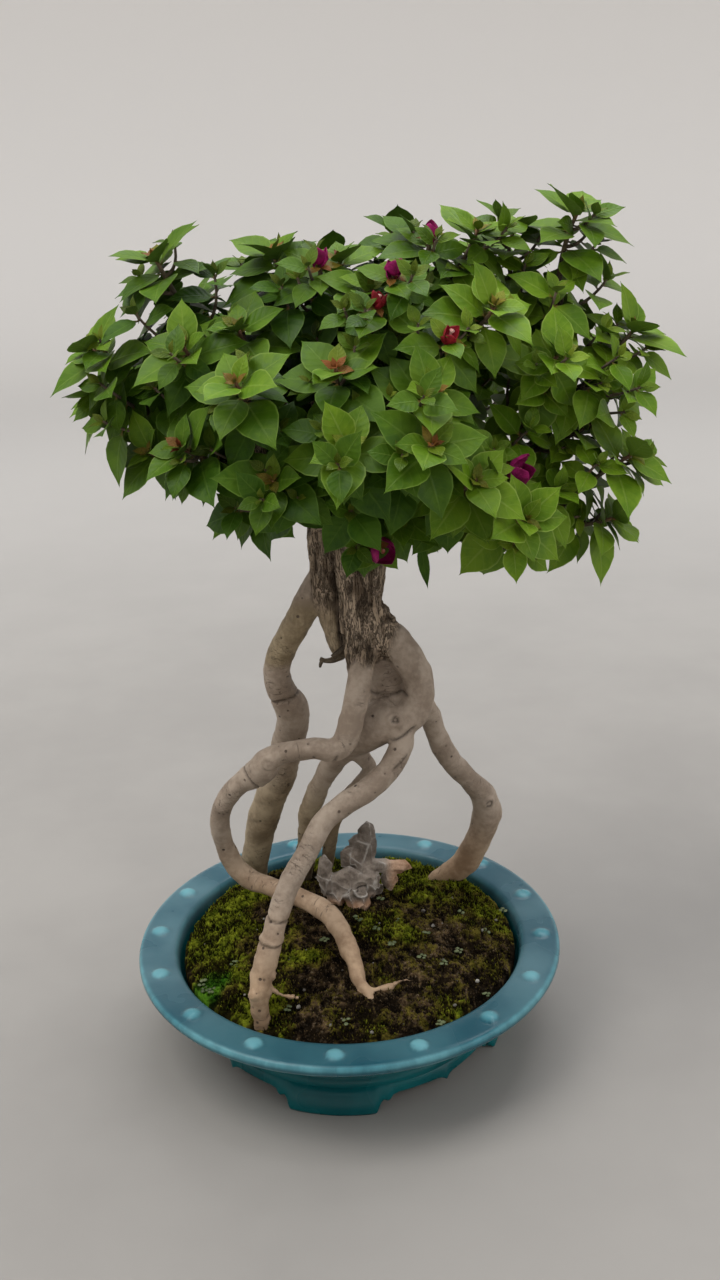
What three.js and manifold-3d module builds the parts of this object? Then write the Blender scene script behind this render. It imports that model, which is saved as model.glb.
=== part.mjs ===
// A bougainvillea bonsai with its roots lifted over a stone, in a round glazed pot.
// Millimetres, +Z up. The viewer stands on the -Y side and +X is to the right.
import * as THREE from 'three';
import Module from 'manifold-3d';

const wasm = await Module();
wasm.setup();

// Driving dimensions of the pot
const POT_RIM_RADIUS = 180;
const POT_MOUTH_RADIUS = 147;
const POT_RIM_HEIGHT = 85.5;
const POT_FLOOR_TOP = 24;
const POT_SEGMENTS = 32;
const STUD_COUNT = 16;
const STUD_CIRCLE_RADIUS = 165;
const STUD_RADIUS = 8.3;
const STUD_SIDES = 6;
const STUD_START_DEGREES = 153.5;
const FOOT_COUNT = 4;
const FRONT_FOOT_DEGREES = -97.5;
const FOOT_OUTER_RADIUS = 131;
const APRON_OUTER_RADIUS = 124;
const APRON_INNER_RADIUS = 106;
const APRON_TOP = 23;
const APRON_LIFT = 12;

// Driving dimensions of the soil
const SOIL_RADIUS = 140;
const SOIL_EDGE_HEIGHT = 79;
const SOIL_CROWN_HEIGHT = 22;
const SOIL_SEGMENTS = 26;
const SEAT_GAP = 0.4;

// Driving dimensions of the wood
const ROOT_SIDES = 7;
const LIMB_SIDES = 5;
const TWIG_SIDES = 4;
const BURIED_STATIONS = 5;
const BURIED_HEIGHT = 95;
const TWIG_BASE_RADIUS = 3.2;
const TWIG_TO_LIMB = 0.7;
const TWIG_HANDLE = 0.45;
const TWIG_LAST_SHARE = 0.96;
const OUTWARD_PULL = 0.75;
const UPWARD_PULL = 0.35;

// Driving dimensions of the leaves and shoots
const SHOOT_LENGTH = 78;
const SHOOT_SHARE = 0.72;
const SHOOT_BASE_RADIUS = 2.1;
const SHOOT_TIP_RADIUS = 1.3;
const LEAF_LENGTH = 47;
const LEAF_WIDTH = 0.63;
const LEAF_FOLD = 0.08;
const RIDGE_DEPTH = 0.9;
const TAIL_START = -0.02;
const BRACT_LENGTH = 20;
const BRACT_WIDTH = 0.86;
const BRACT_COUNT = 3;
const BLOOM_STALK_LENGTH = 16;
const GOLDEN_TURN = 137.5;
const CLEARANCE = 2.2;
const PAST_ENDS = 0.07;
const BLADE_REACH = 54;
const ROD_REACH = 60;
const CROWN_CENTRE = [10, 0, 485];
const LIGHT = new THREE.Vector3(-0.15, -0.75, 0.65);
const LIGHT_PULL = 0.9;

const radians = (degrees) => (degrees * Math.PI) / 180;
const vector = (p) => new THREE.Vector3(p[0], p[1], p[2]);
const mix = (a, b, t) => a + (b - a) * t;

// A repeatable random number from 0 to 1 for each whole number
function chance(n) {
  const wave = Math.sin(n * 127.1 + 11.7) * 43758.5453;
  return wave - Math.floor(wave);
}

// Closed solids

function solidFrom(points, triangles) {
  const flat = points.flatMap((p) => [p.x, p.y, p.z]);
  const mesh = new wasm.Mesh({
    numProp: 3,
    vertProperties: new Float32Array(flat),
    triVerts: new Uint32Array(triangles.flat()),
  });
  return new wasm.Manifold(mesh);
}

function geometryOf(solid) {
  const mesh = solid.getMesh();
  const geometry = new THREE.BufferGeometry();
  geometry.setAttribute('position', new THREE.BufferAttribute(mesh.vertProperties, 3));
  geometry.setIndex(new THREE.BufferAttribute(mesh.triVerts, 1));
  geometry.computeVertexNormals();
  return geometry;
}

function joined(solids) {
  return solids.reduce((whole, next) => whole.add(next));
}

// Gives each station of a centreline a pair of cross directions that don't twist along it
function framed(list) {
  let right = new THREE.Vector3(1, 0, 0);
  if (Math.abs(list[0].along.x) > 0.8) right = new THREE.Vector3(0, 1, 0);
  return list.map((station) => {
    right = right.clone().addScaledVector(station.along, -right.dot(station.along)).normalize();
    return { ...station, right, up: new THREE.Vector3().crossVectors(station.along, right) };
  });
}

// Stations along a smooth centreline: each has its place, its direction and its radius
function stations(rows) {
  const curve = new THREE.CatmullRomCurve3(rows.map(vector), false, 'centripetal');
  const last = rows.length - 1;
  return framed(rows.map((row, k) => (
    { at: vector(row), along: curve.getTangent(k / last), radius: row[3] }
  )));
}

// A tapering tube over the stations, with flat ends; grow makes it fatter for a hole
function tube(list, sides, grow = 0) {
  const points = [];
  const triangles = [];
  list.forEach((station) => {
    for (let i = 0; i < sides; i += 1) {
      const turn = (i / sides) * Math.PI * 2;
      const p = station.at.clone();
      p.addScaledVector(station.right, Math.cos(turn) * (station.radius + grow));
      p.addScaledVector(station.up, Math.sin(turn) * (station.radius + grow));
      points.push(p);
    }
  });
  for (let ring = 0; ring < list.length - 1; ring += 1) {
    for (let i = 0; i < sides; i += 1) {
      const a = ring * sides + i;
      const b = ring * sides + ((i + 1) % sides);
      triangles.push([a, b, b + sides], [a, b + sides, a + sides]);
    }
  }
  const end = (list.length - 1) * sides;
  for (let i = 1; i < sides - 1; i += 1) {
    triangles.push([0, i + 1, i], [end, end + i, end + i + 1]);
  }
  return solidFrom(points, triangles);
}

// A solid turned about the upright axis from a closed outline of [radius, height]
function turned(outline, segments) {
  const profile = outline.map((p) => new THREE.Vector2(p[0], p[1]));
  const points = [];
  const triangles = [];
  const rings = [];
  profile.forEach((p) => {
    if (p.x === 0) {
      rings.push([points.length]);
      points.push(new THREE.Vector3(0, 0, p.y));
      return;
    }
    const ring = [];
    for (let i = 0; i < segments; i += 1) {
      const turn = (i / segments) * Math.PI * 2;
      ring.push(points.length);
      points.push(new THREE.Vector3(p.x * Math.cos(turn), p.x * Math.sin(turn), p.y));
    }
    rings.push(ring);
  });
  for (let k = 0; k < rings.length - 1; k += 1) {
    const low = rings[k];
    const high = rings[k + 1];
    for (let i = 0; i < segments; i += 1) {
      const j = (i + 1) % segments;
      if (low.length === 1) {
        triangles.push([low[0], high[j], high[i]]);
      } else if (high.length === 1) {
        triangles.push([low[i], low[j], high[0]]);
      } else {
        triangles.push([low[i], low[j], high[j]], [low[i], high[j], high[i]]);
      }
    }
  }
  return solidFrom(points, triangles);
}

// The pot: a turned bowl with a wide flat rim, raised studs and a scalloped foot ring

const POT_OUTLINE = [
  [0, 13], [108, 13], [122, 17], [123, 26], [119.5, 29.5], [123, 33],
  [134, 41], [145, 55], [149.5, 70], [160, 73.5], [174, 74.5],
  [POT_RIM_RADIUS, 79], [POT_RIM_RADIUS - 1, 84], [STUD_CIRCLE_RADIUS, POT_RIM_HEIGHT],
  [POT_MOUTH_RADIUS + 2, 84], [POT_MOUTH_RADIUS, 81.5], [POT_MOUTH_RADIUS - 2, 70],
  [139, 55], [128, 41], [113, 32], [106, POT_FLOOR_TOP], [0, POT_FLOOR_TOP],
];

// Lower edge of the foot ring over one half of a foot's share: [degrees from its middle, height]
const FOOT_EDGE = [
  [0, 0], [15.5, 0], [16.8, 5], [18.5, 8.6], [20.5, 7.6], [22.3, 10.8], [25, 12],
  [41, 11.6], [45, 8.2],
];

function footRing() {
  const columns = [];
  for (let foot = 0; foot < FOOT_COUNT; foot += 1) {
    const middle = FRONT_FOOT_DEGREES + (foot * 360) / FOOT_COUNT;
    const mirrored = FOOT_EDGE.slice(1, -1).reverse();
    mirrored.forEach((edge) => columns.push([middle - edge[0], edge[1]]));
    FOOT_EDGE.forEach((edge) => columns.push([middle + edge[0], edge[1]]));
  }
  const points = [];
  const triangles = [];
  columns.forEach(([degrees, low]) => {
    const turn = radians(degrees);
    const reach = mix(FOOT_OUTER_RADIUS, APRON_OUTER_RADIUS, Math.min(low / APRON_LIFT, 1));
    const corners = [
      [APRON_INNER_RADIUS, low], [reach, low],
      [APRON_OUTER_RADIUS, APRON_TOP], [APRON_INNER_RADIUS, APRON_TOP],
    ];
    corners.forEach(([r, z]) => {
      points.push(new THREE.Vector3(r * Math.cos(turn), r * Math.sin(turn), z));
    });
  });
  for (let k = 0; k < columns.length; k += 1) {
    const next = ((k + 1) % columns.length) * 4;
    for (let i = 0; i < 4; i += 1) {
      const a = k * 4 + i;
      const b = k * 4 + ((i + 1) % 4);
      const c = next + ((i + 1) % 4);
      const d = next + i;
      triangles.push([a, d, c], [a, c, b]);
    }
  }
  return solidFrom(points, triangles);
}

// Half of a stud's outline: [share of its radius, height over the rim]
const STUD_DOME = [[0, -1.5], [1.1, -1.5], [0.62, 2.4], [0, 3]];

// A low dome that stands in the rim
function stud(degrees) {
  const dome = STUD_DOME.map(([share, over]) => [share * STUD_RADIUS, POT_RIM_HEIGHT + over]);
  const x = STUD_CIRCLE_RADIUS * Math.cos(radians(degrees));
  const y = STUD_CIRCLE_RADIUS * Math.sin(radians(degrees));
  return turned(dome, STUD_SIDES).translate([x, y, 0]);
}

function pot() {
  const pieces = [turned(POT_OUTLINE, POT_SEGMENTS), footRing()];
  for (let i = 0; i < STUD_COUNT; i += 1) {
    pieces.push(stud(STUD_START_DEGREES + (i * 360) / STUD_COUNT));
  }
  return joined(pieces);
}

// The wood: roots, trunk and limbs as rows of [x, y, z, radius]

const ROOTS = {
  trunk: [
    [8, 2, 492, 16], [11, 1, 464, 23], [19, 0, 431, 21.5], [19, 0, 410, 19.5], [18.5, 0, 390, 18],
    [20, 0, 370, 18], [20, 0, 352, 16], [19, -1, 338, 12],
  ],
  lobe: [
    [-5, 3, 450, 14], [-7, 1, 431, 11.5], [-8, 1, 410, 10], [-7, 1, 386, 9], [-3.5, 2, 369, 8.2],
    [-0.5, 3, 350, 6.4], [3, 4, 337, 3.6],
  ],
  leftFront: [
    [19, -6, 362, 13], [18, -14, 343, 11], [16, -20, 328, 10], [12, -26, 307, 9.5],
    [6, -30, 288, 10], [-3, -33, 276, 10], [-19, -32, 277, 9.2], [-39, -26, 272, 9.2],
    [-56, -17, 263, 10.5], [-67, -8, 247, 12.5], [-85, 0, 232, 9], [-102, 8, 207, 8.6],
    [-106, 16, 182, 8.4], [-103, 22, 159, 8.6], [-96, 24, 139, 9], [-81, 22, 127, 9.2],
    [-65, 12, 126, 8.6], [-38, -8, 126, 8.4], [-22, -24, 125, 8.4], [-9, -42, 121, 8.2],
    [-2, -58, 115, 8], [3, -74, 107, 7.4], [8, -88, 99, 6], [15, -98, 91, 4.6], [21, -106, 82, 3.4],
  ],
  arc: [
    [20, 0, 386, 14], [34, 0, 364, 14], [47.5, 0, 350.5, 13.5], [58, -2, 335, 13],
    [63.5, -4, 321, 12.4], [63.5, -6, 306, 12.8], [58, -8, 294, 14], [46, -8, 288, 16],
  ],
  inner: [[27, 13, 374, 13], [33, 15, 348, 14], [38, 13, 320, 14], [40, 6, 296, 13]],
  leftBack: [
    [46, -7, 290, 16], [32, -3, 285, 18.5], [17, 3, 271, 15], [-1, 14, 251, 10.8], [-18, 30, 218, 9.3],
    [-31, 48, 178, 9.6], [-34, 62, 145, 9.6], [-38, 80, 118, 9.5], [-42, 90, 94, 9],
    [-44, 94, 76, 8],
  ],
  thin: [
    [22, 0, 282, 8], [10, 5, 262, 7.4], [22, 13, 237, 6.7], [16, 20, 221, 6.2], [1, 31, 200, 6],
    [-10, 50, 163, 6], [-17, 70, 122, 6], [-21, 82, 94, 5.6], [-23, 86, 76, 5],
  ],
  front: [
    [52, -6, 297, 12], [50, -13, 283, 10.6], [47, -21, 268, 10], [38, -28, 254, 9.6],
    [24, -34, 243, 9.4], [4, -41, 233, 9.2], [-16, -48, 220, 8.9], [-30, -61, 199, 8.8],
    [-43, -73, 182, 9], [-53, -86, 161, 9], [-60, -98, 141, 8.6], [-66, -106, 126, 8.3],
    [-69, -111, 112, 8.2], [-70, -113, 96, 7.4], [-69, -113, 80, 6.6], [-68, -112, 64, 5.4],
  ],
  left: [
    [0, 5, 424, 12], [-12, 8, 402, 11.5], [-28, 12, 374, 11.5], [-44, 18, 343, 11],
    [-51, 24, 320, 11.6], [-48, 30, 300, 12.6], [-41, 36, 283, 14], [-41, 42, 266, 14],
    [-46, 49, 247, 13.7], [-55, 60, 212, 13.5], [-67, 70, 180, 14], [-76, 78, 153, 13.5],
    [-81, 84, 128, 13], [-86, 88, 106, 13], [-88, 90, 87, 12], [-88, 90, 70, 10],
  ],
  right: [
    [50, -4, 303, 11], [62, 8, 296, 10.4], [73, 18, 282, 9.4], [78, 27, 261, 9.2],
    [90, 36, 232, 9.2], [106, 46, 208, 9.7], [119, 54, 189, 10.8], [125, 60, 169, 12.8],
    [122, 66, 147, 12.6], [114, 72, 124, 12.2], [105, 77, 104, 11.8], [91, 79, 94, 9.6],
    [79, 79, 89, 6.2], [70, 78, 82, 4],
  ],
  rootlet: [[10, -90, 97, 3], [18, -96, 93.5, 2.4], [24, -94, 93.5, 1.9], [34, -91, 92, 1.4]],
};

const LIMBS = {
  leftMain: [
    [4, 4, 466, 18], [-26, 6, 492, 12.5], [-58, 8, 516, 9], [-80, 8, 548, 6], [-92, 6, 588, 4],
    [-100, 6, 612, 3],
  ],
  leftLow: [[-40, 7, 503, 9], [-82, 2, 512, 6], [-118, 2, 528, 4.6], [-146, 2, 548, 3.4]],
  leftFrontLimb: [[-2, -6, 458, 13], [-22, -34, 482, 8.5], [-40, -56, 508, 6], [-50, -72, 532, 4]],
  middle: [[8, 4, 478, 17], [2, 10, 522, 11], [-6, 10, 562, 8], [-12, 8, 600, 4.6]],
  middleRight: [[4, 8, 512, 10], [30, 2, 556, 6.5], [54, -2, 592, 5], [78, -2, 616, 3.6]],
  rightLow: [
    [18, -6, 448, 13], [47, -13, 442, 8], [68, -18, 446, 6.4], [94, -28, 449, 5.4],
    [128, -34, 450, 4.6], [160, -34, 452, 3.6],
  ],
  rightMain: [
    [20, 2, 462, 13], [58, 2, 470, 8], [94, -2, 472, 6.6], [120, -4, 484, 5.8], [134, -5, 503, 5.2],
    [145, -3, 521, 4.9], [156, 0, 541, 4.6], [161, 2, 560, 4.3], [169, 6, 592, 3.6],
    [172, 9, 616, 2.8],
  ],
  rightSide: [[158, 1, 548, 4.4], [178, -2, 546, 3.6], [196, -4, 548, 3]],
  frontLimb: [[8, -14, 452, 12], [14, -42, 474, 8], [20, -64, 498, 6], [34, -76, 522, 4.4]],
  back: [[4, 18, 462, 14], [-6, 52, 490, 9], [-14, 80, 518, 6.5], [-22, 96, 548, 4.6]],
  backRight: [[16, 14, 462, 12], [48, 46, 488, 8], [84, 66, 512, 6], [112, 74, 542, 4.4]],
  backLeft: [[-4, 42, 482, 9], [-46, 62, 508, 6.4], [-86, 68, 532, 5], [-110, 66, 556, 3.6]],
};

// Leafy shoots: [name, tip x, y, z, limb, how far along it]
const SPRAYS = [
  ['top_left', -121, 10, 652, 'leftMain', 1],
  ['left_tip', -170, -10, 592, 'leftLow', 1],
  ['left_front', -98, -50, 596, 'leftMain', 0.62],
  ['left_upper', -60, -40, 607, 'leftMain', 0.5],
  ['bright_left', -58, -110, 580, 'leftFrontLimb', 1],
  ['crest_left', -35, 10, 653, 'middle', 1],
  ['crest_middle', 13, 0, 647, 'middle', 0.8],
  ['crest_front', 33, -35, 633, 'middleRight', 0.5],
  ['front_upper', 8, -95, 585, 'frontLimb', 0.9],
  ['front_bright', 15, -130, 539, 'frontLimb', 0.55],
  ['front_right', 72, -105, 569, 'frontLimb', 1],
  ['front_low_right', 70, -135, 540, 'frontLimb', 0.75],
  ['yellow', 101, -105, 508, 'rightLow', 0.5],
  ['bright_right', 136, -95, 476, 'rightLow', 0.76],
  ['right_low_tip', 221, -40, 507, 'rightLow', 1],
  ['right_inner', 195, -10, 524, 'rightMain', 0.42],
  ['right_tip', 228, 5, 590, 'rightSide', 1],
  ['top_right', 187, 20, 674, 'rightMain', 1],
  ['crest_right', 142, 35, 661, 'rightMain', 0.86],
  ['crest_peak', 112, 2, 664, 'middleRight', 1],
  ['middle_right', 118, -60, 618, 'middleRight', 0.7],
  ['low_left', -102, -75, 531, 'leftFrontLimb', 0.7],
  ['left_drop', -174, 20, 553, 'leftLow', 0.8],
  ['left_bud', -38, -104, 512, 'leftFrontLimb', 0.36],
  ['left_under', -132, -28, 518, 'leftLow', 0.55],
  ['right_under', 211, -34, 458, 'rightLow', 0.9],
  ['front_under', 48, -66, 478, 'frontLimb', 0.3],
  ['left_skirt', -66, -34, 482, 'leftFrontLimb', 0.3],
  ['right_front', 166, -45, 583, 'rightMain', 0.66],
  ['back_left_low', -150, 78, 560, 'backLeft', 1],
  ['back_left', -104, 92, 612, 'backLeft', 0.9],
  ['back_middle_left', -52, 100, 640, 'back', 1],
  ['back_middle', 6, 96, 642, 'back', 0.86],
  ['back_middle_right', 60, 84, 655, 'backRight', 0.7],
  ['back_right', 116, 92, 640, 'backRight', 1],
  ['back_right_side', 164, 78, 600, 'backRight', 0.94],
  ['back_low_left', -78, 140, 566, 'backLeft', 0.5],
  ['back_low_middle', -12, 152, 580, 'back', 0.76],
  ['back_low_right', 56, 146, 582, 'back', 0.6],
  ['back_side_right', 122, 136, 560, 'backRight', 0.76],
];

// Blooms of coloured bracts: [name, tip x, y, z, limb, how far along it, share of full size]
const BLOOMS = [
  ['bloom_top_left', -1, -24, 646, 'middle', 0.9, 0.72],
  ['bloom_top_pink', 49, -56, 640, 'middleRight', 0.6, 0.72],
  ['bloom_top_red', 38, -70, 622, 'middleRight', 0.4, 0.66],
  ['bloom_crest', 78, -6, 660, 'middleRight', 0.94, 0.66],
  ['bloom_red', 84, -84, 600, 'middleRight', 0.78, 0.6],
  ['bloom_right', 130, -72, 503, 'rightMain', 0.4, 1],
  ['bloom_low', 34, -66, 450, 'frontLimb', 0.2, 1],
];

// The way that a tip faces: outward from the crown, and up to the light
function facing(tip) {
  const way = vector(tip).sub(vector(CROWN_CENTRE)).normalize().multiplyScalar(OUTWARD_PULL);
  way.z += UPWARD_PULL;
  return way.normalize();
}

// The place and thickness of a limb at a share of its stations, just short of its end
function limbPoint(limb, share) {
  const rows = LIMBS[limb];
  const along = Math.min(share, TWIG_LAST_SHARE) * (rows.length - 1);
  const k = Math.min(Math.floor(along), rows.length - 2);
  const at = vector(rows[k]).lerp(vector(rows[k + 1]), along - k);
  return { at, radius: mix(rows[k][3], rows[k + 1][3], along - k) };
}

// The bent line of a twig, from inside its limb to the tip of its shoot
function twigCurve([, x, y, z, limb, share]) {
  const tip = new THREE.Vector3(x, y, z);
  const start = limbPoint(limb, share).at;
  const reach = tip.distanceTo(start);
  const handle = tip.clone().addScaledVector(facing([x, y, z]), -TWIG_HANDLE * reach);
  return new THREE.QuadraticBezierCurve3(start, handle, tip);
}

// Part of a twig as stations, from one share of its length to another
function twigStations(curve, from, to, steps, thick, thin) {
  const list = [];
  for (let i = 0; i <= steps; i += 1) {
    const u = mix(from, to, i / steps);
    const radius = mix(thick, thin, i / steps);
    list.push({ at: curve.getPoint(u), along: curve.getTangent(u), radius });
  }
  return framed(list);
}

// The share of the twig at which its leafy shoot begins
function shootStart(curve, name) {
  const wanted = name.startsWith('bloom') ? BLOOM_STALK_LENGTH : SHOOT_LENGTH;
  return 1 - Math.min(wanted / curve.getLength(), SHOOT_SHARE);
}

// Every run of wood, from the thickest root to the twigs
function woodStations() {
  const runs = [];
  Object.values(ROOTS).forEach((rows) => runs.push({ list: stations(rows), sides: ROOT_SIDES }));
  Object.values(LIMBS).forEach((rows) => runs.push({ list: stations(rows), sides: LIMB_SIDES }));
  [...SPRAYS, ...BLOOMS].forEach((row) => {
    const curve = twigCurve(row);
    const start = shootStart(curve, row[0]);
    const thick = Math.min(limbPoint(row[4], row[5]).radius * TWIG_TO_LIMB, TWIG_BASE_RADIUS);
    const list = twigStations(curve, 0, start, 1, thick, SHOOT_BASE_RADIUS);
    runs.push({ list, sides: TWIG_SIDES });
  });
  return runs;
}

const WOOD = woodStations();

function tree() {
  return joined(WOOD.map((run) => tube(run.list, run.sides)));
}

// The stone: rough lumps grown together, as [x, y, z, half sizes along x, y and z]
const BOULDERS = [
  [2, 31, 113, 22, 10, 17], [-20, 34, 127, 6.5, 6, 16], [-14, 31, 114, 10, 8, 15],
  [-11, 27, 104, 8.5, 8, 15], [8, 21, 102, 12, 9, 14], [17, 33, 114, 12, 9, 15],
  [10, 43, 133, 15, 6, 17], [14.5, 44, 144, 12, 5.5, 17], [18.5, 44.5, 154, 8, 5, 16],
  [22, 40, 127, 21, 7, 7.5], [43, 42, 124.5, 13.5, 6, 6.5], [37, 38, 116, 7, 6, 11],
  [8, 46, 98, 22, 13, 13],
];

// How far a lump's corners stand out: from this share of its half sizes to this much more
const LUMP_LEAST = 0.86;
const LUMP_SPREAD = 0.36;

function boulder([x, y, z, a, b, c], number, grow = 0) {
  const ball = new THREE.DodecahedronGeometry(1).getAttribute('position');
  const points = [];
  const seen = new Map();
  const index = [];
  for (let i = 0; i < ball.count; i += 1) {
    const p = new THREE.Vector3().fromBufferAttribute(ball, i);
    const key = p.toArray().map((v) => v.toFixed(3)).join(' ');
    if (!seen.has(key)) {
      const rough = LUMP_LEAST + LUMP_SPREAD * chance(seen.size * 3 + number * 97);
      seen.set(key, points.length);
      points.push(new THREE.Vector3(
        x + p.x * (a * rough + grow), y + p.y * (b * rough + grow), z + p.z * (c * rough + grow),
      ));
    }
    index.push(seen.get(key));
  }
  const triangles = [];
  for (let i = 0; i < index.length; i += 3) triangles.push(index.slice(i, i + 3));
  return solidFrom(points, triangles);
}

function stone(grow = 0) {
  return joined(BOULDERS.map((row, i) => boulder(row, i, grow)));
}

// The soil: a mound with a bumpy top that fills the pot, with holes for what stands in it
function soilHeight(x, y) {
  const r = Math.hypot(x, y);
  const share = Math.max(1 - (r / SOIL_RADIUS) ** 2, 0);
  const bumps = 1.9 * Math.sin(0.062 * x + 1) * Math.cos(0.07 * y)
    + 1.3 * Math.sin(0.13 * x + 0.09 * y + 2) + 1.1 * Math.cos(0.11 * x - 0.15 * y);
  return SOIL_EDGE_HEIGHT + SOIL_CROWN_HEIGHT * share ** 0.8 + bumps * Math.min(share * 4, 1);
}

const SOIL_TOP_RADII = [34, 66, 98, 124, SOIL_RADIUS];

// Side of the soil, that follows the pot's wall: [radius, height]
const SOIL_SKIRT = [[144, 71], [138, 55], [127, 41], [112.1, 32], [105.1, POT_FLOOR_TOP + SEAT_GAP]];

function mound() {
  const points = [new THREE.Vector3(0, 0, soilHeight(0, 0))];
  const triangles = [];
  const rings = SOIL_TOP_RADII.map((r) => [r, null]).concat(SOIL_SKIRT);
  rings.forEach(([r, z]) => {
    for (let i = 0; i < SOIL_SEGMENTS; i += 1) {
      const turn = (i / SOIL_SEGMENTS) * Math.PI * 2;
      const x = r * Math.cos(turn);
      const y = r * Math.sin(turn);
      points.push(new THREE.Vector3(x, y, z === null ? soilHeight(x, y) : z));
    }
  });
  const floor = points.length;
  const last = 1 + (rings.length - 1) * SOIL_SEGMENTS;
  points.push(new THREE.Vector3(0, 0, POT_FLOOR_TOP + SEAT_GAP));
  for (let i = 0; i < SOIL_SEGMENTS; i += 1) {
    const j = (i + 1) % SOIL_SEGMENTS;
    triangles.push([0, 1 + i, 1 + j], [last + i, floor, last + j]);
    for (let a = 1; a < last; a += SOIL_SEGMENTS) {
      const b = a + SOIL_SEGMENTS;
      triangles.push([a + i, b + i, b + j], [a + i, b + j, a + j]);
    }
  }
  return solidFrom(points, triangles);
}

function soil() {
  let whole = mound();
  Object.values(ROOTS).filter((rows) => rows.at(-1)[2] < BURIED_HEIGHT).forEach((rows) => {
    const buried = stations(rows).slice(-BURIED_STATIONS);
    whole = whole.subtract(tube(buried, ROOT_SIDES, SEAT_GAP));
  });
  return whole.subtract(stone(SEAT_GAP));
}

// Blades: leaves and bracts

// A blade is widest a third of the way along, and narrows faster past its shoulder
const WIDEST_AT = 0.34;
const SHOULDER_AT = 0.68;
const SHOULDER_WIDTH = 0.68;
const STALK_WIDTH = 0.1;

// Width of a blade along its length, as a share of its greatest width
function outline(t) {
  if (t < WIDEST_AT) return mix(STALK_WIDTH, 1, Math.max(t, 0) / WIDEST_AT);
  if (t < SHOULDER_AT) return mix(1, SHOULDER_WIDTH, (t - WIDEST_AT) / (SHOULDER_AT - WIDEST_AT));
  return Math.max(mix(SHOULDER_WIDTH, 0, (t - SHOULDER_AT) / (1 - SHOULDER_AT)), 0);
}

// A point on a blade: a share t of its length, a distance across it and a height over it
function bladePlace(b, t, across, lift) {
  const p = b.root.clone().addScaledVector(b.way, b.length * t);
  p.addScaledVector(b.side, across);
  const rise = LEAF_FOLD * Math.abs(across) - b.droop * b.length * t * t + lift;
  return p.addScaledVector(b.up, rise);
}

const SAMPLES_ALONG = 10;
const SAMPLES_ASIDE = 3;

// Points spread over the blade, to test what it would touch
function bladeSamples(b) {
  const list = [];
  for (let i = 1; i <= SAMPLES_ALONG; i += 1) {
    const t = i / SAMPLES_ALONG;
    const half = (outline(t) * b.width) / 2;
    for (let j = -SAMPLES_ASIDE; j <= SAMPLES_ASIDE; j += 1) {
      list.push(bladePlace(b, t, (half * j) / SAMPLES_ASIDE, 0));
    }
  }
  return list;
}

// A blade from its root along way; its face turns to the light
function makeBlade(root, way, axis, length, width, droop) {
  const face = axis.clone().addScaledVector(LIGHT, LIGHT_PULL);
  const level = face.addScaledVector(way, -face.dot(way)).normalize();
  const side = new THREE.Vector3().crossVectors(way, level);
  const b = { root, way, up: level, side, length, width, droop };
  b.middle = bladePlace(b, 0.5, 0, 0);
  b.samples = bladeSamples(b);
  return b;
}

// Whether any sample of blade a comes within the clearance of blade b
function reaches(a, b) {
  return a.samples.some((p) => {
    const d = p.clone().sub(b.root);
    const t = d.dot(b.way) / b.length;
    if (t < -PAST_ENDS || t > 1 + PAST_ENDS) return false;
    const across = Math.abs(d.dot(b.side));
    if (across > (outline(t) * b.width) / 2 + CLEARANCE) return false;
    const height = d.dot(b.up) + b.droop * b.length * t * t - LEAF_FOLD * across;
    return Math.abs(height) < CLEARANCE;
  });
}

// A rod is one straight span of a stem, root, limb or twig
function nearRod(p, rod) {
  const t = THREE.MathUtils.clamp(p.clone().sub(rod.a).dot(rod.span) / rod.span.lengthSq(), 0, 1);
  return p.distanceTo(rod.a.clone().addScaledVector(rod.span, t)) < rod.radius + CLEARANCE;
}

function rodsOf(list) {
  const rods = [];
  for (let i = 0; i < list.length - 1; i += 1) {
    const span = list[i + 1].at.clone().sub(list[i].at);
    const radius = Math.max(list[i].radius, list[i + 1].radius);
    rods.push({ a: list[i].at, span, radius, middle: list[i].at.clone().addScaledVector(span, 0.5) });
  }
  return rods;
}

// A closed blade: a tail sunk in the stem, three-cornered sections with a ridge below, and a tip
const BLADE_SECTIONS = [[0.12, 0.16], [0.36, 1], [0.68, 0.7]];

function bladeSolid(b) {
  const points = [bladePlace(b, TAIL_START, 0, -RIDGE_DEPTH / 2)];
  BLADE_SECTIONS.forEach(([t, share]) => {
    const edge = (b.width * share) / 2;
    points.push(bladePlace(b, t, -edge, 0), bladePlace(b, t, 0, -RIDGE_DEPTH));
    points.push(bladePlace(b, t, edge, 0));
  });
  const tip = points.length;
  points.push(bladePlace(b, 1, 0, 0));
  const triangles = [];
  for (let i = 0; i < 3; i += 1) {
    const j = (i + 1) % 3;
    triangles.push([0, 1 + i, 1 + j], [tip, tip - 3 + j, tip - 3 + i]);
    for (let k = 1; k < tip - 3; k += 3) {
      triangles.push([k + i, k + 3 + j, k + j], [k + i, k + 3 + i, k + 3 + j]);
    }
  }
  return solidFrom(points, triangles);
}

// Leaves down a shoot: [distance below its tip, share of full length, lift in degrees, droop]
const LEAF_ROWS = [
  [4, 0.8, 34, 0.07], [7.5, 0.96, 22, 0.1], [12, 1, 10, 0.13], [17, 1, -3, 0.15],
  [29, 1, -24, 0.16], [47, 0.96, -38, 0.14],
];

// Bracts down a bloom's stalk, in the same order of values
const BRACT_ROWS = [[1, 1, 56, 0.1], [3, 1, 56, 0.1], [5, 1, 56, 0.1]];

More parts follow.
